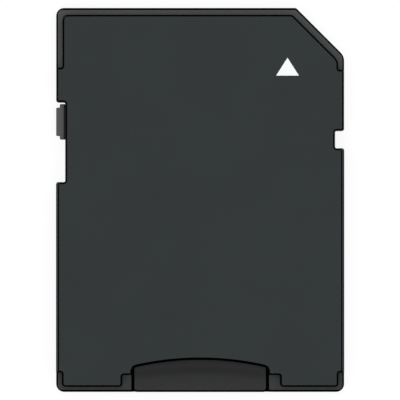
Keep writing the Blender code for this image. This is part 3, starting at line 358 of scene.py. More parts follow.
def arc_between(start, end, rise, steps):
    """The inner points of a shallow arc to the left of the line from start to end.

    It leaves the line by its rise. Its radius is (half the chord squared + rise squared) / (2 * rise).
    """
    start, end = np.asarray(start, dtype=float), np.asarray(end, dtype=float)
    chord = np.linalg.norm(end - start)
    forward = (end - start) / chord
    left = np.array((-forward[1], forward[0]))
    radius = (chord**2 / 4 + rise**2) / (2 * rise)
    centre = (start + end) / 2 - left * (radius - rise)
    half = math.asin(chord / 2 / radius)
    angle = (half * (1 - 2 * np.arange(1, steps) / steps))[:, None]
    return centre + radius * (left * np.cos(angle) - forward * np.sin(angle))


def inward_steps(outline):
    """How each point of an anticlockwise outline moves when it shrinks by one, with mitred corners.

    With b and a the outline's directions before and after a point, both turned to the left, it is
    (b + a) / (1 + b . a).
    """
    before = outline - np.roll(outline, 1, axis=0)
    after = np.roll(outline, -1, axis=0) - outline
    before /= np.linalg.norm(before, axis=1, keepdims=True)
    after /= np.linalg.norm(after, axis=1, keepdims=True)
    inward = np.stack((-before[:, 1] - after[:, 1], before[:, 0] + after[:, 0]), axis=1)
    return inward / (1 + np.sum(before * after, axis=1, keepdims=True))


def soft_plate(name, outline, bottom, top, lower, upper, material, steps=EDGE_STEPS, lean=0.0):
    """A plate between two heights whose lower and upper edges are quarter rounds.

    Over a quarter turn the lower edge's ring lies in by lower * (1 - sin) while it rises by
    lower * (1 - cos), and the upper edge's ring goes in by upper * (1 - cos) while it rises by
    upper * sin. The wall between them leans in by lean. Each of the three is one number, or an array with
    a number for each point of the outline.
    """
    turn = np.linspace(0.0, math.pi / 2, steps + 1)[:, None]
    lower, upper, lean = (np.broadcast_to(size, len(outline))[None] for size in (lower, upper, lean))
    insets = np.concatenate((lower * (1 - np.sin(turn)), lean + upper * (1 - np.cos(turn))))
    heights = np.concatenate((bottom + lower * (1 - np.cos(turn)), top - upper * (1 - np.sin(turn))))
    plan = outline[None] + inward_steps(outline)[None] * insets[:, :, None]
    return closed_rings(name, np.concatenate((plan, heights[:, :, None]), axis=2), material)


def bent_strip(name, path, width, height, material):
    """A strip of rectangular section on edge, along a level path whose rows (x, y, z) are its middle.

    At each point the section lies across the mean of the two runs that meet there, and is
    width / cos(half the turn between them) wide, so that the strip keeps its thickness round the bends.
    """
    plan = np.asarray(path, dtype=float)
    runs = np.diff(plan[:, :2], axis=0)
    runs /= np.linalg.norm(runs, axis=1, keepdims=True)
    before = np.vstack((runs[:1], runs))
    along = before + np.vstack((runs, runs[-1:]))
    along /= np.linalg.norm(along, axis=1, keepdims=True)
    across = np.column_stack((-along[:, 1], along[:, 0], np.zeros(len(along))))
    side = across * width / 2 / np.sum(along * before, axis=1, keepdims=True)
    rise = np.array((0.0, 0.0, height / 2))
    section = (-side - rise, side - rise, side + rise, -side + rise)
    rings = np.stack([plan + corner for corner in section], axis=1)
    return closed_rings(name, rings, material)


def box_solid(name, low, high, material=None):
    """A plain box for cutting, from its lowest and highest corners."""
    plan = np.array([(low[0], low[1]), (high[0], low[1]), (high[0], high[1]), (low[0], high[1])])
    rings = np.stack([np.column_stack((plan, np.full(4, z))) for z in (low[2], high[2])])
    return closed_rings(name, rings, material)


def carve(piece, tool, operation):
    """Cuts a solid out of a piece, or joins it on, and removes the solid."""
    step = piece.modifiers.new(operation.lower(), "BOOLEAN")
    step.operation = operation
    step.solver = "EXACT"
    step.object = tool
    graph = bpy.context.evaluated_depsgraph_get()
    result = bpy.data.meshes.new_from_object(piece.evaluated_get(graph), depsgraph=graph)
    piece.modifiers.clear()
    former = piece.data
    piece.data = result
    result.name = piece.name
    bpy.data.meshes.remove(former)
    bpy.data.meshes.remove(tool.data)
    shade_by_form(result)


def smooth_step(fraction):
    """Half a cosine wave from 0 to 1, level at both ends."""
    return (1 - np.cos(np.pi * np.clip(fraction, 0.0, 1.0))) / 2


# Materials

def add_node(tree, kind, label, **values):
    """A shader node whose settings or input values are given by name, with _ for a space."""
    node = tree.nodes.new(kind)
    node.label = label
    for name, value in values.items():
        if hasattr(node, name):
            setattr(node, name, value)
        else:
            node.inputs[name.replace("_", " ")].default_value = value
    return node


def new_surface(name, base, roughness, metallic=0.0, specular=0.5):
    """A material with a Principled shader whose constants are on its sockets. Gives both."""
    material = bpy.data.materials.new(name)
    material.use_nodes = True
    shader = material.node_tree.nodes["Principled BSDF"]
    shader.inputs["Base Color"].default_value = (*base, 1.0)
    shader.inputs["Roughness"].default_value = roughness
    shader.inputs["Metallic"].default_value = metallic
    shader.inputs["Specular IOR Level"].default_value = specular
    return material, shader


def calculate(tree, operation, label, *values):
    """A maths node on sockets or numbers. Gives its output."""
    node = add_node(tree, "ShaderNodeMath", label, operation=operation)
    for socket, value in zip(node.inputs, values):
        if isinstance(value, bpy.types.NodeSocket):
            tree.links.new(value, socket)
        else:
            socket.default_value = value
    return node.outputs["Value"]


def remap(tree, label, value, low, high, new_low, new_high):
    """A clamped straight-line map of a value from one range to another. Gives its output."""
    node = add_node(tree, "ShaderNodeMapRange", label, clamp=True)
    tree.links.new(value, node.inputs["Value"])
    names = ("From Min", "From Max", "To Min", "To Max")
    for name, bound in zip(names, (low, high, new_low, new_high)):
        node.inputs[name].default_value = bound
    return node.outputs["Result"]


def split(tree, label, vector):
    """The outputs X, Y and Z of a vector socket."""
    node = add_node(tree, "ShaderNodeSeparateXYZ", label)
    tree.links.new(vector, node.inputs["Vector"])
    return node.outputs


def blend_colours(tree, label, share, first, second):
    """A mix of two colours by the share that a socket gives. Gives its output.

    The node's sockets 6 and 7 take colours, and its output 2 gives one. The others are of other types.
    """
    node = add_node(tree, "ShaderNodeMix", label, data_type="RGBA")
    tree.links.new(share, node.inputs[0])
    node.inputs[6].default_value = (*first, 1.0)
    node.inputs[7].default_value = (*second, 1.0)
    return node.outputs[2]


def add_pattern(tree, kind, label, place, **values):
    """A procedural pattern at the places that a socket gives. Gives its outputs."""
    node = add_node(tree, kind, label, **values)
    tree.links.new(place, node.inputs["Vector"])
    return node.outputs


def tone_colour(tree, shader, tint, tone):
    """Gives the shader a colour, or a colour socket, times a tone."""
    toned = add_node(tree, "ShaderNodeVectorMath", "toned", operation="SCALE")
    if isinstance(tint, bpy.types.NodeSocket):
        tree.links.new(tint, toned.inputs["Vector"])
    else:
        toned.inputs["Vector"].default_value = tint
    tree.links.new(tone, toned.inputs["Scale"])
    tree.links.new(toned.outputs["Vector"], shader.inputs["Base Color"])


def add_relief(tree, shader, height, strength, depth):
    """Gives the shader the relief of a pattern."""
    relief = add_node(tree, "ShaderNodeBump", "relief", Strength=strength, Distance=depth)
    tree.links.new(height, relief.inputs["Height"])
    tree.links.new(relief.outputs["Normal"], shader.inputs["Normal"])


def painted_edge_shade(tree, facing, darkest, spare_front):
    """Painted shade on edges: a factor, 1 on level and upright faces, darkest on the turns between them.

    With n the upward part of the normal, the size of 1 - 2 n squared is 1 on level and upright faces and
    falls to 0 halfway. The factor falls with it from 1 to darkest, over the first few degrees of the
    turn. Faces that lean towards the contact end may be spared, for the slope of the small card's ridge.
    """
    squared = calculate(tree, "MULTIPLY", "upward squared", facing["Z"], facing["Z"])
    double = calculate(tree, "MULTIPLY_ADD", "one less twice", squared, -2.0, 1.0)
    level = calculate(tree, "ABSOLUTE", "level or upright", double)
    if spare_front:
        leaning = remap(tree, "leans to the front", facing["Y"], 0.0, LEAN_SPARED, 0.0, 1.0)
        level = calculate(tree, "MAXIMUM", "spared", level, leaning)
    return remap(tree, "edge tone", level, EDGE_TURNED, EDGE_LEVEL, darkest, 1.0)


def painted_groove_shade(tree, place, facing, darkest):
    """Painted shade: a factor, darkest on faces that look up from below the rim's face, and 1 elsewhere.

    Those are the bottoms of the seams and of the gaps beside the small card, where hardly any light gets.
    """
    looks_up = calculate(tree, "GREATER_THAN", "looks up", facing["Z"], LOOKS_UP)
    sunk = calculate(tree, "LESS_THAN", "below the rim", place["Z"], SEAM_TOP)
    both = calculate(tree, "MULTIPLY", "sunk and up", looks_up, sunk)
    return remap(tree, "groove tone", both, 0.0, 1.0, 1.0, darkest)


def painted_border_shade(tree, place, facing, darkest, key, border, end_border):
    """Painted shade: a factor, darkest on faces that look up near the housing's outline, and 1 elsewhere.

    How far a point lies inside is the smallest of half the width less the size of x, half the length less
    the size of y, and (key - x - y) / the root of 2, where x + y is key along the cut corner. The factor
    is darkest where that is under border. At both ends the border is end_border wide, so the distance
    from them is less by what end_border has over border.
    """
    x_size = calculate(tree, "ABSOLUTE", "x size", place["X"])
    y_size = calculate(tree, "ABSOLUTE", "y size", place["Y"])
    both = calculate(tree, "ADD", "x and y", place["X"], place["Y"])
    from_side = calculate(tree, "SUBTRACT", "from the side", BASE_HIGH.x, x_size)
    from_end = calculate(tree, "SUBTRACT", "from the end", BASE_HIGH.y - end_border + border, y_size)
    from_key = calculate(tree, "SUBTRACT", "before the key", key, both)
    from_key = calculate(tree, "MULTIPLY", "from the key", from_key, math.sqrt(0.5))
    inside = calculate(tree, "MINIMUM", "side or end", from_side, from_end)
    inside = calculate(tree, "MINIMUM", "inside", inside, from_key)
    tone = remap(tree, "border tone", inside, border, border + SHADE_BORDER_SOFTNESS, darkest, 1.0)
    level = calculate(tree, "LESS_THAN", "not up", facing["Z"], LOOKS_UP)
    return calculate(tree, "MAXIMUM", "border", tone, level)


def moulded_plastic(name, base, roughness, specular, painted_light_run=None, edge=0.02, grain=0.08, spare_front=False,
                    border=None):
    """Moulded plastic with a fine spark-eroded grain in its tone, roughness and relief.

    Painted shade darkens its edges and the bottoms of its seams and lowers their specular level there,
    down to
    the share edge. A painted_light_run is (far colour, first y, last y): painted light and shade take the
    tone from the base colour at the first to the far colour at the last. A border is (key, border,
    end_border), for the painted shade near the outline that painted_border_shade explains.
    """
    material, shader = new_surface(name, base, roughness, specular=specular)
    tree = material.node_tree
    where = add_node(tree, "ShaderNodeTexCoord", "place").outputs["Object"]
    place = split(tree, "place parts", where)
    geometry = add_node(tree, "ShaderNodeNewGeometry", "facing")
    facing = split(tree, "facing parts", geometry.outputs["Normal"])
    fine = add_pattern(tree, "ShaderNodeTexNoise", "fine grain", where, Scale=GRAIN_SCALE, Detail=2.0,
                       Roughness=0.65)
    cloud = add_pattern(tree, "ShaderNodeTexNoise", "cloud", where, Scale=GRAIN_CLOUD_SCALE, Detail=2.0,
                        Roughness=0.5)
    pits = add_pattern(tree, "ShaderNodeTexVoronoi", "pits", where, Scale=PIT_SCALE, Randomness=1.0)
    tint = base
    # Painted light and shade: the tone runs along y from the base colour to the far colour
    if painted_light_run:
        far, first, last = painted_light_run
        share = remap(tree, "along the run", place["Y"], first, last, 0.0, 1.0)
        tint = blend_colours(tree, "run tone", share, base, far)
    grain_tone = remap(tree, "grain tone", fine["Fac"], *NOISE_SPAN, 1.0 - grain, 1.0 + grain)
    cloud_tone = remap(tree, "cloud tone", cloud["Fac"], *CLOUD_SPAN, *GRAIN_CLOUD_TONES)
    pit_tone = remap(tree, "pit tone", pits["Distance"], *PIT_FADE, 1.0 - 2 * grain, 1.0)
    tone = calculate(tree, "MULTIPLY", "grain and cloud", grain_tone, cloud_tone)
    tone = calculate(tree, "MULTIPLY", "with pits", tone, pit_tone)
    # Painted shade: edges and seam bottoms get a darker colour and a lower specular level
    edges = painted_edge_shade(tree, facing, edge, spare_front)
    grooves = painted_groove_shade(tree, place, facing, edge)
    painted_shade = calculate(tree, "MULTIPLY", "edges and grooves", edges, grooves)
    # Painted shade along the base's rim near the housing's outline
    if border:
        rim = painted_border_shade(tree, place, facing, edge, *border)
        painted_shade = calculate(tree, "MULTIPLY", "and the border", painted_shade, rim)
    tone_colour(tree, shader, tint, calculate(tree, "MULTIPLY", "with edges", tone, painted_shade))
    sheen = calculate(tree, "MULTIPLY", "sheen", painted_shade, specular)
    tree.links.new(sheen, shader.inputs["Specular IOR Level"])
    rough = remap(tree, "grain roughness", fine["Fac"], *NOISE_SPAN, roughness - GRAIN_ROUGHNESS,
                  roughness + GRAIN_ROUGHNESS)
    tree.links.new(rough, shader.inputs["Roughness"])
    add_relief(tree, shader, fine["Fac"], strength=0.5, depth=GRAIN_DEPTH)
    return material


def plated_metal(name, base, roughness):
    """Rolled and plated metal: fine streaks along Y in its roughness and relief, and soft clouds."""
    material, shader = new_surface(name, base, roughness, metallic=1.0)
    tree = material.node_tree
    where = add_node(tree, "ShaderNodeTexCoord", "place").outputs["Object"]
    drawn = add_pattern(tree, "ShaderNodeMapping", "drawn along the rolling", where,
                        Scale=(1.0, STREAK_DRAWN, 1.0))
    streaks = add_pattern(tree, "ShaderNodeTexNoise", "streaks", drawn["Vector"], Scale=STREAK_SCALE,
                          Detail=3.0)
    cloud = add_pattern(tree, "ShaderNodeTexNoise", "cloud", where, Scale=METAL_CLOUD_SCALE, Detail=2.0)
    smoothest, roughest = (roughness + change for change in STREAK_ROUGHNESS)
    rough = remap(tree, "streak roughness", streaks["Fac"], *NOISE_SPAN, smoothest, roughest)
    tree.links.new(rough, shader.inputs["Roughness"])
    cloud_tone = remap(tree, "cloud tone", cloud["Fac"], *CLOUD_SPAN, *METAL_CLOUD_TONES)
    tone_colour(tree, shader, base, cloud_tone)
    add_relief(tree, shader, streaks["Fac"], strength=0.25, depth=METAL_DEPTH)
    return material


def printed_ink(name, base, roughness, specular):
    """Screen printed ink: nearly even, with faint mottling and a little relief from the grain below."""
    material, shader = new_surface(name, base, roughness, specular=specular)
    tree = material.node_tree
    where = add_node(tree, "ShaderNodeTexCoord", "place").outputs["Object"]
    mottle = add_pattern(tree, "ShaderNodeTexNoise", "mottle", where, Scale=MOTTLE_SCALE, Detail=2.0)
    tone_colour(tree, shader, base, remap(tree, "mottle tone", mottle["Fac"], *NOISE_SPAN, *MOTTLE_TONES))
    add_relief(tree, shader, mottle["Fac"], strength=0.3, depth=MOTTLE_DEPTH)
    return material


def finish_material(slot):
    """The finish of a material slot, made the first time that a piece asks for it."""
    name = f"{slot}_finish"
    made = bpy.data.materials.get(name)
    if made:
        return made
    finish = bpy.context.scene.adapter_finish
    sizes = bpy.context.scene.adapter_sizes
    # Painted light falloff along the base, painted shadow of the cover on the small card, painted shade
    # on the rim's border
    base_painted_falloff = (finish.base_front_lit, BASE_LOW.y, BASE_HIGH.y)
    card_painted_shadow = (finish.card_shadowed, CARD_LOW.y, CARD_LOW.y + sizes.ridge_length + sizes.ridge_crown)
    base_painted_border = (BASE_HIGH.x + BASE_HIGH.y - sizes.key_chamfer, sizes.rim_shade_border, sizes.end_border)
    makers = {
        "cover_plastic": lambda: moulded_plastic(name, finish.cover, roughness=0.62, specular=0.12),
        "base_plastic": lambda: moulded_plastic(name, finish.base_rear, roughness=0.55, specular=0.12,
                                                painted_light_run=base_painted_falloff, border=base_painted_border),
        "slider_plastic": lambda: moulded_plastic(name, finish.slider, roughness=0.5, specular=0.15,
                                                  edge=0.45, grain=0.04),
        "card_plastic": lambda: moulded_plastic(name, finish.card, roughness=0.5, specular=0.12,
                                                painted_light_run=card_painted_shadow, grain=0.05, spare_front=True),
        "insulator": lambda: moulded_plastic(name, finish.insulator, roughness=0.6, specular=0.2),
        "contact_metal": lambda: plated_metal(name, finish.gold, roughness=0.27),
        "pad_gold": lambda: plated_metal(name, finish.gold, roughness=0.22),
        "spring_steel": lambda: plated_metal(name, finish.steel, roughness=0.3),
        "white_ink": lambda: printed_ink(name, finish.ink, roughness=0.55, specular=0.3),
    }
    return makers[slot]()


def dress_node(name, finish):
    """Gives a solid that stays its finish."""
    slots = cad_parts[name].data.materials
    slots.clear()
    slots.append(finish_material(finish))


def settle(piece, body, slot, *nodes):
    """Makes a new piece ride on its body, in place of the solids that it stands for."""
    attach(piece, body)
    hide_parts(*nodes)


# Outlines

def plate_side(sizes):
    """Half the width of the cover's plate where it lies between the ledges, behind the notches."""
    return BASE_HIGH.x - sizes.side_ledge


def front_edge_corners(sizes):
    """The cover's corners along the front rim, from right to left.

    The corners edge_taper from both ends, as those of the rear rim, keep the change of the upper edge's
    radius that short.
    """
    taper = HALF_WIDTH - sizes.edge_taper
    left = -HALF_WIDTH + sizes.left_rim
    right = HALF_WIDTH - sizes.right_rim
    front = HALF_LENGTH - sizes.front_rim
    left_end = HALF_LENGTH - sizes.left_rim_length
    right_end = HALF_LENGTH - sizes.right_rim_length
    key = HALF_WIDTH + HALF_LENGTH - sizes.key_chamfer - sizes.chamfer_rim * math.sqrt(2)
    return [
        (HALF_WIDTH, right_end, 0),
        (taper, right_end, 0),
        (right, right_end, sizes.plate_step),
        (right, key - right, sizes.plate_key),
        (key - front, front, sizes.plate_corner),
        (left, front, sizes.plate_corner),
        (left, left_end, sizes.plate_step),
        (-taper, left_end, 0),
        (-HALF_WIDTH, left_end, 0),
    ]


def rear_edge_corners(sizes, side, post):
    """The cover's corners along the rear rim of one side, -1 left or 1 right, from the mouth outwards."""
    mouth = sizes.mouth_width / 2
    plate = plate_side(sizes)
    outer = HALF_WIDTH - sizes.rear_side_rim
    post_end = -HALF_LENGTH + sizes.post_length
    rim = -HALF_LENGTH + sizes.rear_rim
    side_end = -HALF_LENGTH + sizes.rear_side_rim_length
    corners = [
        (mouth, post_end, 0),
        (mouth + sizes.edge_taper, post_end, 0),
        (mouth + post, post_end, sizes.plate_step),
        (mouth + post, rim, sizes.plate_step),
        (outer, rim, sizes.plate_step),
        (outer, side_end, sizes.plate_step),
        (plate - sizes.edge_taper, side_end, 0),
        (plate, side_end, 0),
    ]
    return [(side * x, y, radius) for x, y, radius in corners]


def notch_corners(sizes, side):
    """The corners of the lock notch (side -1) or the side notch (side 1), from the rear forwards."""
    if side < 0:
        front = HALF_LENGTH - sizes.lock_notch_from_front
        rear = front - sizes.lock_notch_length
        floor = -HALF_WIDTH + sizes.lock_notch_depth
    else:
        front = HALF_LENGTH - sizes.side_notch_from_front
        rear = front - sizes.side_notch_length
        floor = HALF_WIDTH - sizes.side_notch_depth
    return [
        (side * plate_side(sizes), rear, sizes.notch_radius),
        (floor, rear, sizes.notch_inner_radius),
        (floor, front, sizes.notch_inner_radius),
        (side * HALF_WIDTH, front, sizes.notch_radius),
    ]


def notch_rear(sizes, side):
    """The y of a notch's rear end."""
    return notch_corners(sizes, side)[0][1]


def cover_outline(sizes):
    """The cover in plan, anticlockwise from the left end of the mouth's arc."""
    mouth = sizes.mouth_width / 2
    arc_y = -HALF_LENGTH + sizes.mouth_side - sizes.mouth_lip
    crown = arc_between((-mouth, arc_y), (mouth, arc_y), sizes.mouth_crown, CROWN_STEPS)
    return rounded_outline([
        (-mouth, arc_y, sizes.mouth_corner),
        *[(x, y, 0) for x, y in crown],
        (mouth, arc_y, sizes.mouth_corner),
        *rear_edge_corners(sizes, 1, sizes.right_post),
        *notch_corners(sizes, 1),
        *front_edge_corners(sizes),
        *notch_corners(sizes, -1)[::-1],
        *rear_edge_corners(sizes, -1, sizes.left_post)[::-1],
    ])


def cover_edges(sizes, outline):
    """The lean of the cover's wall and the radius of its upper edge, for each point of its outline.

    The free sides before the notches, the notches and the mouth's arc lean and are rounder. Along the
    ledges and the rims the wall is upright, and along the rims the edge is crisp. Over the mouth's
    corners, its lean and its radius go to those of the rims in a straight line.
    """
    x, y = outline.T
    from_middle = np.abs(x)
    rim_length = np.where(x < 0, sizes.left_rim_length, sizes.right_rim_length)
    ledge_end = np.where(x < 0, notch_rear(sizes, -1), notch_rear(sizes, 1))
    ledged = (from_middle > plate_side(sizes) - TOUCHING) & (y < ledge_end)
    notch_depth = np.where(x < 0, sizes.lock_notch_depth, sizes.side_notch_depth)
    free = from_middle > HALF_WIDTH - notch_depth - TOUCHING
    free &= y < HALF_LENGTH - rim_length - sizes.edge_taper
    free &= y > -HALF_LENGTH + sizes.rear_side_rim_length + sizes.edge_taper
    free |= from_middle > HALF_WIDTH - TOUCHING
    mouth = (from_middle < sizes.mouth_width / 2 + TOUCHING) & (y < 0)
    share = np.clip((sizes.mouth_width / 2 - from_middle) / sizes.mouth_corner, 0.0, 1.0)
    mouth_edge = sizes.seam_edge + (sizes.mouth_edge - sizes.seam_edge) * share
    kinds = (ledged, free, mouth)
    lean = np.select(kinds, (0.0, sizes.cover_draft, sizes.mouth_lip * share), 0.0)
    edge = np.select(kinds, (sizes.step_edge, sizes.plate_edge, mouth_edge), sizes.seam_edge)
    return lean, edge


def ledge_outlines(sizes):
    """The two bars in plan that make the ledges, from the rear rim to the notch of their side.

    They reach under the plate by their own width, and are round at the notch.
    """
    inner = HALF_WIDTH - 2 * sizes.side_ledge
    rear = -HALF_LENGTH + sizes.rear_side_rim_length
    outlines = []
    for side in (1, -1):
        front = notch_rear(sizes, side)
        corners = [
            (inner, rear, 0),
            (HALF_WIDTH, rear, 0),
            (HALF_WIDTH, front, sizes.notch_radius),
            (inner, front, 0),
        ]
        corners = [(side * x, y, radius) for x, y, radius in corners[::side]]
        outlines.append(rounded_outline(corners, steps=6))
    return outlines


def arrow_outline(sizes):
    """The printed triangle in plan, its tip towards the contact end."""
    left, rear = ARROW_LOW.x, ARROW_LOW.y
    right = ARROW_HIGH.x - sizes.ink_short_right
    tip = ARROW_HIGH.y - sizes.ink_short_tip
    return np.array([(left, rear), (right, rear), ((left + right) / 2, tip)])


def small_card_corners(sizes, grow=0.0, front=0.0, rear=0.0):
    """The small card's keyed shape in plan, without its notch.

    It is larger by grow at its sides and its step, and longer by front and rear at its ends.
    """
    left = CARD_LOW.x - grow
    right = CARD_HIGH.x + grow
    key = right - sizes.card_key_width
    shoulder = CARD_HIGH.y - sizes.card_key_length + grow
    return [
        (left, CARD_LOW.y - rear, sizes.card_rear_radius),
        (right, CARD_LOW.y - rear, sizes.card_rear_radius),
        (right, shoulder - sizes.card_key_width, 0),
        (key, shoulder, 0),
        (key, CARD_HIGH.y + front, sizes.card_front_radius),
        (left, CARD_HIGH.y + front, sizes.card_front_radius),
    ]


# Stage

def seen_rays(tree, ray):
    """Gives 1 for what the camera sees, also through glass, and 0 for the rest."""
    return calculate(tree, "MAXIMUM", "seen", ray["Is Camera Ray"], ray["Is Transmission Ray"])


def end_in_choice(tree, output_kind, share, first, second):
    """Ends a tree in the first shader where the share is 0 and in the second where it is 1."""
    choice = add_node(tree, "ShaderNodeMixShader", "choice")
    for value, socket in zip((share, first, second), choice.inputs):
        tree.links.new(value, socket)
    output = add_node(tree, output_kind, "output")
    tree.links.new(choice.outputs["Shader"], output.inputs["Surface"])


class ADAPTER_OT_stage(bpy.types.Operator):
    """Put up the floor, the lamps, the world and the camera"""

    bl_idname = "adapter.stage"
    bl_label = "Stage"

    def execute(self, context):
        stage = context.scene.adapter_stage
        context.scene.view_settings.view_transform = "Standard"
        self.add_camera(context, stage)
        self.add_lamps(context, stage)
        self.add_world(context, stage)
        self.add_floor(context, stage)
        return {"FINISHED"}

    def add_camera(self, context, stage):
        """A long lens straight above the middle, whose picture is view_width wide at the cover's face."""
        data = bpy.data.cameras.new("camera")
        data.sensor_width = stage.sensor_width
        data.lens = stage.sensor_width * stage.camera_height / stage.view_width
        camera = bpy.data.objects.new("camera", data)
        camera.location = (-stage.aim_left, -stage.aim_back, COVER_HIGH.z + stage.camera_height)
        context.scene.collection.objects.link(camera)
        context.scene.camera = camera

    def add_lamps(self, context, stage):
        """A wide soft lamp overhead, and a weaker light from straight below for the contact side."""
        soft = bpy.data.lights.new("overhead_lamp", "AREA")
        soft.size = stage.lamp_size
        soft.energy = stage.lamp_power
        overhead = bpy.data.objects.new("overhead_lamp", soft)
        overhead.location = (0.0, 0.0, stage.lamp_height)
        below = bpy.data.lights.new("under_light", "SUN")
        below.energy = stage.under_strength
        below.angle = stage.under_angle
        under = bpy.data.objects.new("under_light", below)
        under.rotation_euler = (math.pi, 0.0, 0.0)
        under.visible_glossy = False
        for lamp in (overhead, under):
            context.scene.collection.objects.link(lamp)

    def add_world(self, context, stage):
        """White to the camera and through glass. As a light it is a dome, nearly dark at the horizon.

        Metal on the contact side mirrors a pale ground, white straight below, that fades in the same way.
        """
        world = bpy.data.worlds.new("studio")
        context.scene.world = world
        world.use_nodes = True
        tree = world.node_tree
        tree.nodes.clear()
        direction = add_node(tree, "ShaderNodeTexCoord", "direction").outputs["Generated"]
        upward = split(tree, "direction parts", direction)["Z"]
        ray = add_node(tree, "ShaderNodeLightPath", "ray").outputs
        above = remap(tree, "dome", upward, *DOME_SPAN, stage.horizon, stage.sky)
        ground = remap(tree, "ground", upward, *GROUND_SPAN, 1.0, stage.horizon)
        mirrored = calculate(tree, "MULTIPLY", "mirrored ground", ground, ray["Is Glossy Ray"])
        strength = calculate(tree, "MAXIMUM", "dome or ground", above, mirrored)
        dome = add_node(tree, "ShaderNodeBackground", "dome", Color=WHITE)
        tree.links.new(strength, dome.inputs["Strength"])
        white = add_node(tree, "ShaderNodeBackground", "white", Color=WHITE)
        end_in_choice(tree, "ShaderNodeOutputWorld", seen_rays(tree, ray), dome.outputs["Background"],
                      white.outputs["Background"])

    def add_floor(self, context, stage):
        """A plain white floor that keeps the shadow. From below, and to the under light, it is clear."""
        half = stage.floor_size / 2
        corners = [(-half, -half), (half, -half), (half, half), (-half, half)]
        mesh = bpy.data.meshes.new("floor")
        mesh.from_pydata([(x, y, -stage.floor_gap) for x, y in corners], [], [(0, 1, 2, 3)])
        floor = bpy.data.objects.new("floor", mesh)
        context.scene.collection.objects.link(floor)
        material = bpy.data.materials.new("floor_white")
        material.use_nodes = True
        tree = material.node_tree
        tree.nodes.clear()
        ray = add_node(tree, "ShaderNodeLightPath", "ray").outputs
        facing = add_node(tree, "ShaderNodeNewGeometry", "facing").outputs
        paint = add_node(tree, "ShaderNodeBsdfDiffuse", "paint", Color=(stage.floor_tone,) * 3 + (1.0,))
        seen = calculate(tree, "MAXIMUM", "seen or mirrored", seen_rays(tree, ray), ray["Is Glossy Ray"])
        lift = add_node(tree, "ShaderNodeEmission", "lift")
        strength = calculate(tree, "MULTIPLY", "lift where seen", seen, stage.floor_lift)
        tree.links.new(strength, lift.inputs["Strength"])
        look = add_node(tree, "ShaderNodeAddShader", "look")
        tree.links.new(paint.outputs["BSDF"], look.inputs[0])
        tree.links.new(lift.outputs["Emission"], look.inputs[1])
        clear = add_node(tree, "ShaderNodeBsdfTransparent", "clear")
        open_to = calculate(tree, "MAXIMUM", "open", facing["Backfacing"], ray["Is Shadow Ray"])
        end_in_choice(tree, "ShaderNodeOutputMaterial", open_to, look.outputs["Shader"],
                      clear.outputs["BSDF"])
        mesh.materials.append(material)


# Pieces

class ADAPTER_OT_housing(bpy.types.Operator):
    """Finish the base shell and the contact carrier, whose solids stay"""

    bl_idname = "adapter.housing"
    bl_label = "Housing"

    def execute(self, context):
        dress_node("base_shell", "base_plastic")
        dress_node("contact_carrier", "insulator")
        return {"FINISHED"}


class ADAPTER_OT_cover(bpy.types.Operator):
    """Build the cover: a plate with soft edges, hollowed where it roofs the small card's slot"""

    bl_idname = "adapter.cover"
    bl_label = "Cover"

    def execute(self, context):
        sizes = context.scene.adapter_sizes
        finish = finish_material("cover_plastic")
        outline = cover_outline(sizes)
        lean, edge = cover_edges(sizes, outline)
        cover = soft_plate("cover_plate", outline, COVER_LOW.z, COVER_HIGH.z, sizes.cover_foot, edge,
                           finish, lean=lean)
        for bar in ledge_outlines(sizes):
            ledge = soft_plate("ledge", bar, COVER_LOW.z + TOUCHING, COVER_HIGH.z - sizes.ledge_depth,
                               sizes.ledge_edge, sizes.ledge_edge, finish, steps=2)
            carve(cover, ledge, "UNION")
        # Cutters reach this far past the faces that they open
        overcut = sizes.rear_rim
        corners = small_card_corners(sizes, sizes.slot_clearance, sizes.stop_gap, overcut)
        slot = rounded_outline([(x, y, 0) for x, y, _ in corners])
        roof = soft_plate("slot_roof", slot, COVER_LOW.z - overcut, COVER_HIGH.z - sizes.slot_roof,
                          sizes.cover_foot, sizes.cover_foot, finish, steps=2)
        carve(cover, roof, "DIFFERENCE")
        print_plan = arrow_outline(sizes)
        wider = print_plan - inward_steps(print_plan) * sizes.ink_gap
        recess = soft_plate("arrow_recess", wider, ARROW_LOW.z, COVER_HIGH.z + overcut, 0.0, 0.0, finish,
                            steps=1)
        carve(cover, recess, "DIFFERENCE")
        settle(cover, "housing", "cover_plastic", "top_cover")
        return {"FINISHED"}


class ADAPTER_OT_arrow(bpy.types.Operator):
    """Build the printed insertion arrow"""

    bl_idname = "adapter.arrow"
    bl_label = "Printed arrow"

    def execute(self, context):
        sizes = context.scene.adapter_sizes
        arrow = soft_plate("arrow_print", arrow_outline(sizes), ARROW_LOW.z, ARROW_HIGH.z, sizes.ink_edge,
                           sizes.ink_edge, finish_material("white_ink"), steps=3)
        settle(arrow, "housing", "white_ink", "printed_arrow")
        return {"FINISHED"}


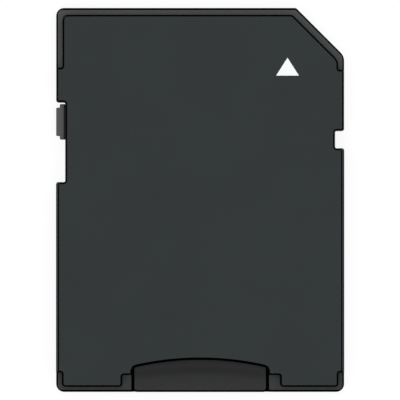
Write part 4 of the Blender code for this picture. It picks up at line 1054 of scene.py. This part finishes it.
class ADAPTER_OT_small_card(bpy.types.Operator):
    """Build the small card: keyed body, latch notch, thumb ridge and recessed gold pads"""

    bl_idname = "adapter.small_card"
    bl_label = "Small card"

    def execute(self, context):
        sizes = context.scene.adapter_sizes
        body = self.add_body(sizes)
        carve(body, self.add_ridge(sizes), "UNION")
        settle(body, "small_card", "card_plastic", "small_card_body")
        for number, node in enumerate(CARD_PADS, start=1):
            carve(body, self.pad_recess(sizes, node), "DIFFERENCE")
            settle(self.add_pad(sizes, number, node), "small_card", "pad_gold", node)
        return {"FINISHED"}

    def pad_recess(self, sizes, node):
        """What a pad's recess takes from the body: the pad's box with a margin, and all below it."""
        low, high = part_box(node)
        margin = sizes.pad_recess_margin
        return box_solid("pad_recess", (low.x - margin, low.y - margin, low.z - sizes.card_thickness),
                         (high.x + margin, high.y + margin, high.z + margin / 2))

    def add_pad(self, sizes, number, node):
        """A pad with rounded corners and soft edges, in the box of its solid."""
        low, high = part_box(node)
        corners = ((low.x, low.y), (high.x, low.y), (high.x, high.y), (low.x, high.y))
        outline = rounded_outline([(x, y, sizes.pad_corner) for x, y in corners], steps=6)
        return soft_plate(f"card_pad_{number}", outline, low.z, high.z, sizes.pad_edge, sizes.pad_edge,
                          finish_material("pad_gold"), steps=3)

    def add_body(self, sizes):
        """The flat body, with the latch notch in its right side."""
        corners = small_card_corners(sizes)
        front = CARD_HIGH.y - sizes.card_notch_from_front
        rear = front - sizes.card_notch_length
        floor = CARD_HIGH.x - sizes.card_notch_depth
        corners[2:2] = [
            (CARD_HIGH.x, rear, 0),
            (floor, rear, 0),
            (floor, front - sizes.card_notch_slope, 0),
            (CARD_HIGH.x, front, 0),
        ]
        face = CARD_LOW.z + sizes.card_thickness
        return soft_plate("card_shell", rounded_outline(corners), CARD_LOW.z, face, sizes.card_edge,
                          sizes.card_edge, finish_material("card_plastic"), steps=4)

    def add_ridge(self, sizes):
        """The thumb ridge: sections along the card, each half a cosine wave up to a level crest.

        The foot of the slope lies ridge_length from the rear edge, and further in the middle by
        ridge_crown * (1 - share squared), with share the distance from the middle over half the width.
        The crest ends in a quarter round at the rear. Round the card's rear corners the sections go
        outwards with the sine of a quarter turn and draw in by radius * (1 - cos).
        """
        half = CARD_HIGH.x - sizes.ridge_margin
        radius = sizes.card_rear_radius
        straight = CARD_HIGH.x - radius
        turn = np.linspace(0.0, math.pi / 2, RIDGE_END_POINTS)
        end_x = straight + (half - straight) * np.sin(turn)
        end_in = radius * (1 - np.cos(turn))
        middle = np.linspace(-straight, straight, RIDGE_POINTS_ACROSS)[1:-1]
        across = np.concatenate((-end_x[::-1], middle, end_x))[:, None]
        drawn_in = np.concatenate((end_in[::-1], np.zeros_like(middle), end_in))[:, None]
        climb = np.linspace(0.0, 1.0, RIDGE_POINTS_ALONG)
        face = CARD_LOW.z + sizes.card_thickness
        foot = CARD_LOW.y + sizes.ridge_length + sizes.ridge_crown * (1 - (across / half) ** 2)
        slope_y = foot - climb * sizes.ridge_slope
        slope_z = np.broadcast_to(face + (CARD_HIGH.z - face) * smooth_step(climb), slope_y.shape)
        end_y = CARD_LOW.y + drawn_in + sizes.ridge_edge * (1 - np.sin(turn))
        end_z = np.broadcast_to(CARD_HIGH.z - sizes.ridge_edge * (1 - np.cos(turn)), end_y.shape)
        buried = np.full_like(foot, CARD_LOW.z + sizes.card_thickness / 2)
        y = np.concatenate((foot, slope_y, end_y, end_y[:, -1:]), axis=1)
        z = np.concatenate((buried, slope_z, end_z, buried), axis=1)
        rings = np.stack((np.broadcast_to(across, y.shape), y, z), axis=-1)
        return closed_rings("thumb_ridge", rings[:, ::-1], finish_material("card_plastic"))


class ADAPTER_OT_lock_slider(bpy.types.Operator):
    """Build the write-protect slider: thumb with its tip, neck through the wall, rail and springy arm"""

    bl_idname = "adapter.lock_slider"
    bl_label = "Lock slider"

    def execute(self, context):
        sizes = context.scene.adapter_sizes
        slider = self.add_thumb(sizes)
        carve(slider, self.add_rail(sizes), "UNION")
        carve(slider, self.add_arm(sizes), "UNION")
        settle(slider, "lock", "slider_plastic", "lock_slider")
        return {"FINISHED"}

    def middle(self, sizes):
        """The y of the thumb's middle, from the slider's front end."""
        return SLIDER_HIGH.y - sizes.thumb_length / 2

    def mirrored(self, sizes, half):
        """A closed outline from the corners of its front half, whose y counts from the thumb's middle."""
        corners = np.array(half + [(x, -y, radius) for x, y, radius in reversed(half)])
        corners[:, 1] += self.middle(sizes)
        return rounded_outline(corners)

    def add_thumb(self, sizes):
        """The thumb with its tip. Its upper edge is rounder along the wall than elsewhere."""
        wall = SLIDER_LOW.x + sizes.lock_notch_depth - sizes.thumb_gap
        root = SLIDER_LOW.x + sizes.thumb_tip_depth
        thumb, tip = sizes.thumb_length / 2, sizes.thumb_tip_length / 2
        outline = self.mirrored(sizes, [
            (wall, thumb, 0),
            (wall - sizes.slider_inner_edge, thumb, 0),
            (root, thumb, sizes.thumb_corner),
            (root, tip, 0),
            (SLIDER_LOW.x, tip, sizes.thumb_corner),
        ])
        along_wall = outline[:, 0] > wall - sizes.slider_inner_edge / 2
        edge = np.where(along_wall, sizes.slider_inner_edge, sizes.slider_edge)
        return soft_plate("slider_body", outline, SLIDER_LOW.z, SLIDER_HIGH.z, sizes.slider_edge, edge,
                          finish_material("slider_plastic"))

    def add_rail(self, sizes):
        """The neck, which lies below the thumb's face, and the rail inside the wall."""
        wall = SLIDER_LOW.x + sizes.lock_notch_depth
        rail_x = wall + sizes.lock_wall + sizes.running_gap
        neck, rail = sizes.neck_length / 2, sizes.rail_length / 2
        outline = self.mirrored(sizes, [
            (rail_x + sizes.rail_width, rail, 0),
            (rail_x, rail, 0),
            (rail_x, neck, 0),
            (wall - 2 * sizes.slider_inner_edge, neck, 0),
        ])
        face = SLIDER_HIGH.z - 2 * sizes.slider_inner_edge
        return soft_plate("slider_rail", outline, SLIDER_LOW.z, face, sizes.slider_edge,
                          sizes.slider_edge, finish_material("slider_plastic"))

    def add_arm(self, sizes):
        """The arm, which bows towards the pocket's far wall and turns back a little at its tip.

        Over its length an angle goes from 0 to ARM_TURN of half a turn, and x from the rail's inner side
        towards the far wall by smooth_step of that angle's sine, so that the arm leaves the rail level.
        """
        pocket = SLIDER_LOW.x + sizes.lock_notch_depth + sizes.lock_wall
        inner = pocket + sizes.running_gap + sizes.rail_width - sizes.arm_width
        touch = pocket + sizes.pocket_width - sizes.running_gap - sizes.arm_width / 2
        share = np.linspace(0.0, 1.0, ARM_POINTS)
        x = inner + (touch - inner) * smooth_step(np.sin(np.pi * ARM_TURN * share))
        y = self.middle(sizes) - sizes.rail_length / 2 - share * sizes.arm_length
        middle = (SLIDER_LOW.z + SLIDER_HIGH.z) / 2 - sizes.slider_inner_edge
        path = np.column_stack((x, y, np.full_like(x, middle)))
        path = np.vstack((path[:1] + (0.0, sizes.arm_width, 0.0), path))
        height = SLIDER_HIGH.z - SLIDER_LOW.z - 2 * sizes.slider_inner_edge - 2 * sizes.arm_set_back
        return bent_strip("slider_arm", path, sizes.arm_width, height, finish_material("slider_plastic"))


class ADAPTER_OT_contacts(bpy.types.Operator):
    """Finish the contact strips and the latch spring"""

    bl_idname = "adapter.contacts"
    bl_label = "Contacts"

    def execute(self, context):
        for node in STRIPS:
            dress_node(node, "contact_metal")
        dress_node("card_latch_spring", "spring_steel")
        return {"FINISHED"}


class ADAPTER_PT_maker(bpy.types.Panel):
    """The steps that build the adapter"""

    bl_idname = "ADAPTER_PT_maker"
    bl_label = "Memory Card Adapter"
    bl_space_type = "VIEW_3D"
    bl_region_type = "UI"
    bl_category = "Card Adapter"

    def draw(self, context):
        for step in STEPS:
            self.layout.operator(step.bl_idname)


STEPS = (
    ADAPTER_OT_stage,
    ADAPTER_OT_housing,
    ADAPTER_OT_cover,
    ADAPTER_OT_arrow,
    ADAPTER_OT_small_card,
    ADAPTER_OT_lock_slider,
    ADAPTER_OT_contacts,
)
GROUPS = {"adapter_sizes": AdapterSizes, "adapter_finish": AdapterFinish, "adapter_stage": AdapterStage}


def register():
    """Add the classes and the scene's property groups."""
    for group in GROUPS.values():
        bpy.utils.register_class(group)
    for step in STEPS:
        bpy.utils.register_class(step)
    bpy.utils.register_class(ADAPTER_PT_maker)
    for name, group in GROUPS.items():
        setattr(bpy.types.Scene, name, PointerProperty(type=group))


def unregister():
    """Take the property groups and the classes away again."""
    for name in GROUPS:
        delattr(bpy.types.Scene, name)
    bpy.utils.unregister_class(ADAPTER_PT_maker)
    for step in reversed(STEPS):
        bpy.utils.unregister_class(step)
    for group in reversed(list(GROUPS.values())):
        bpy.utils.unregister_class(group)


def main():
    """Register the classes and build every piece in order."""
    register()
    for step in STEPS:
        module, name = step.bl_idname.split(".")
        getattr(getattr(bpy.ops, module), name)()


if __name__ == "__main__":
    main()
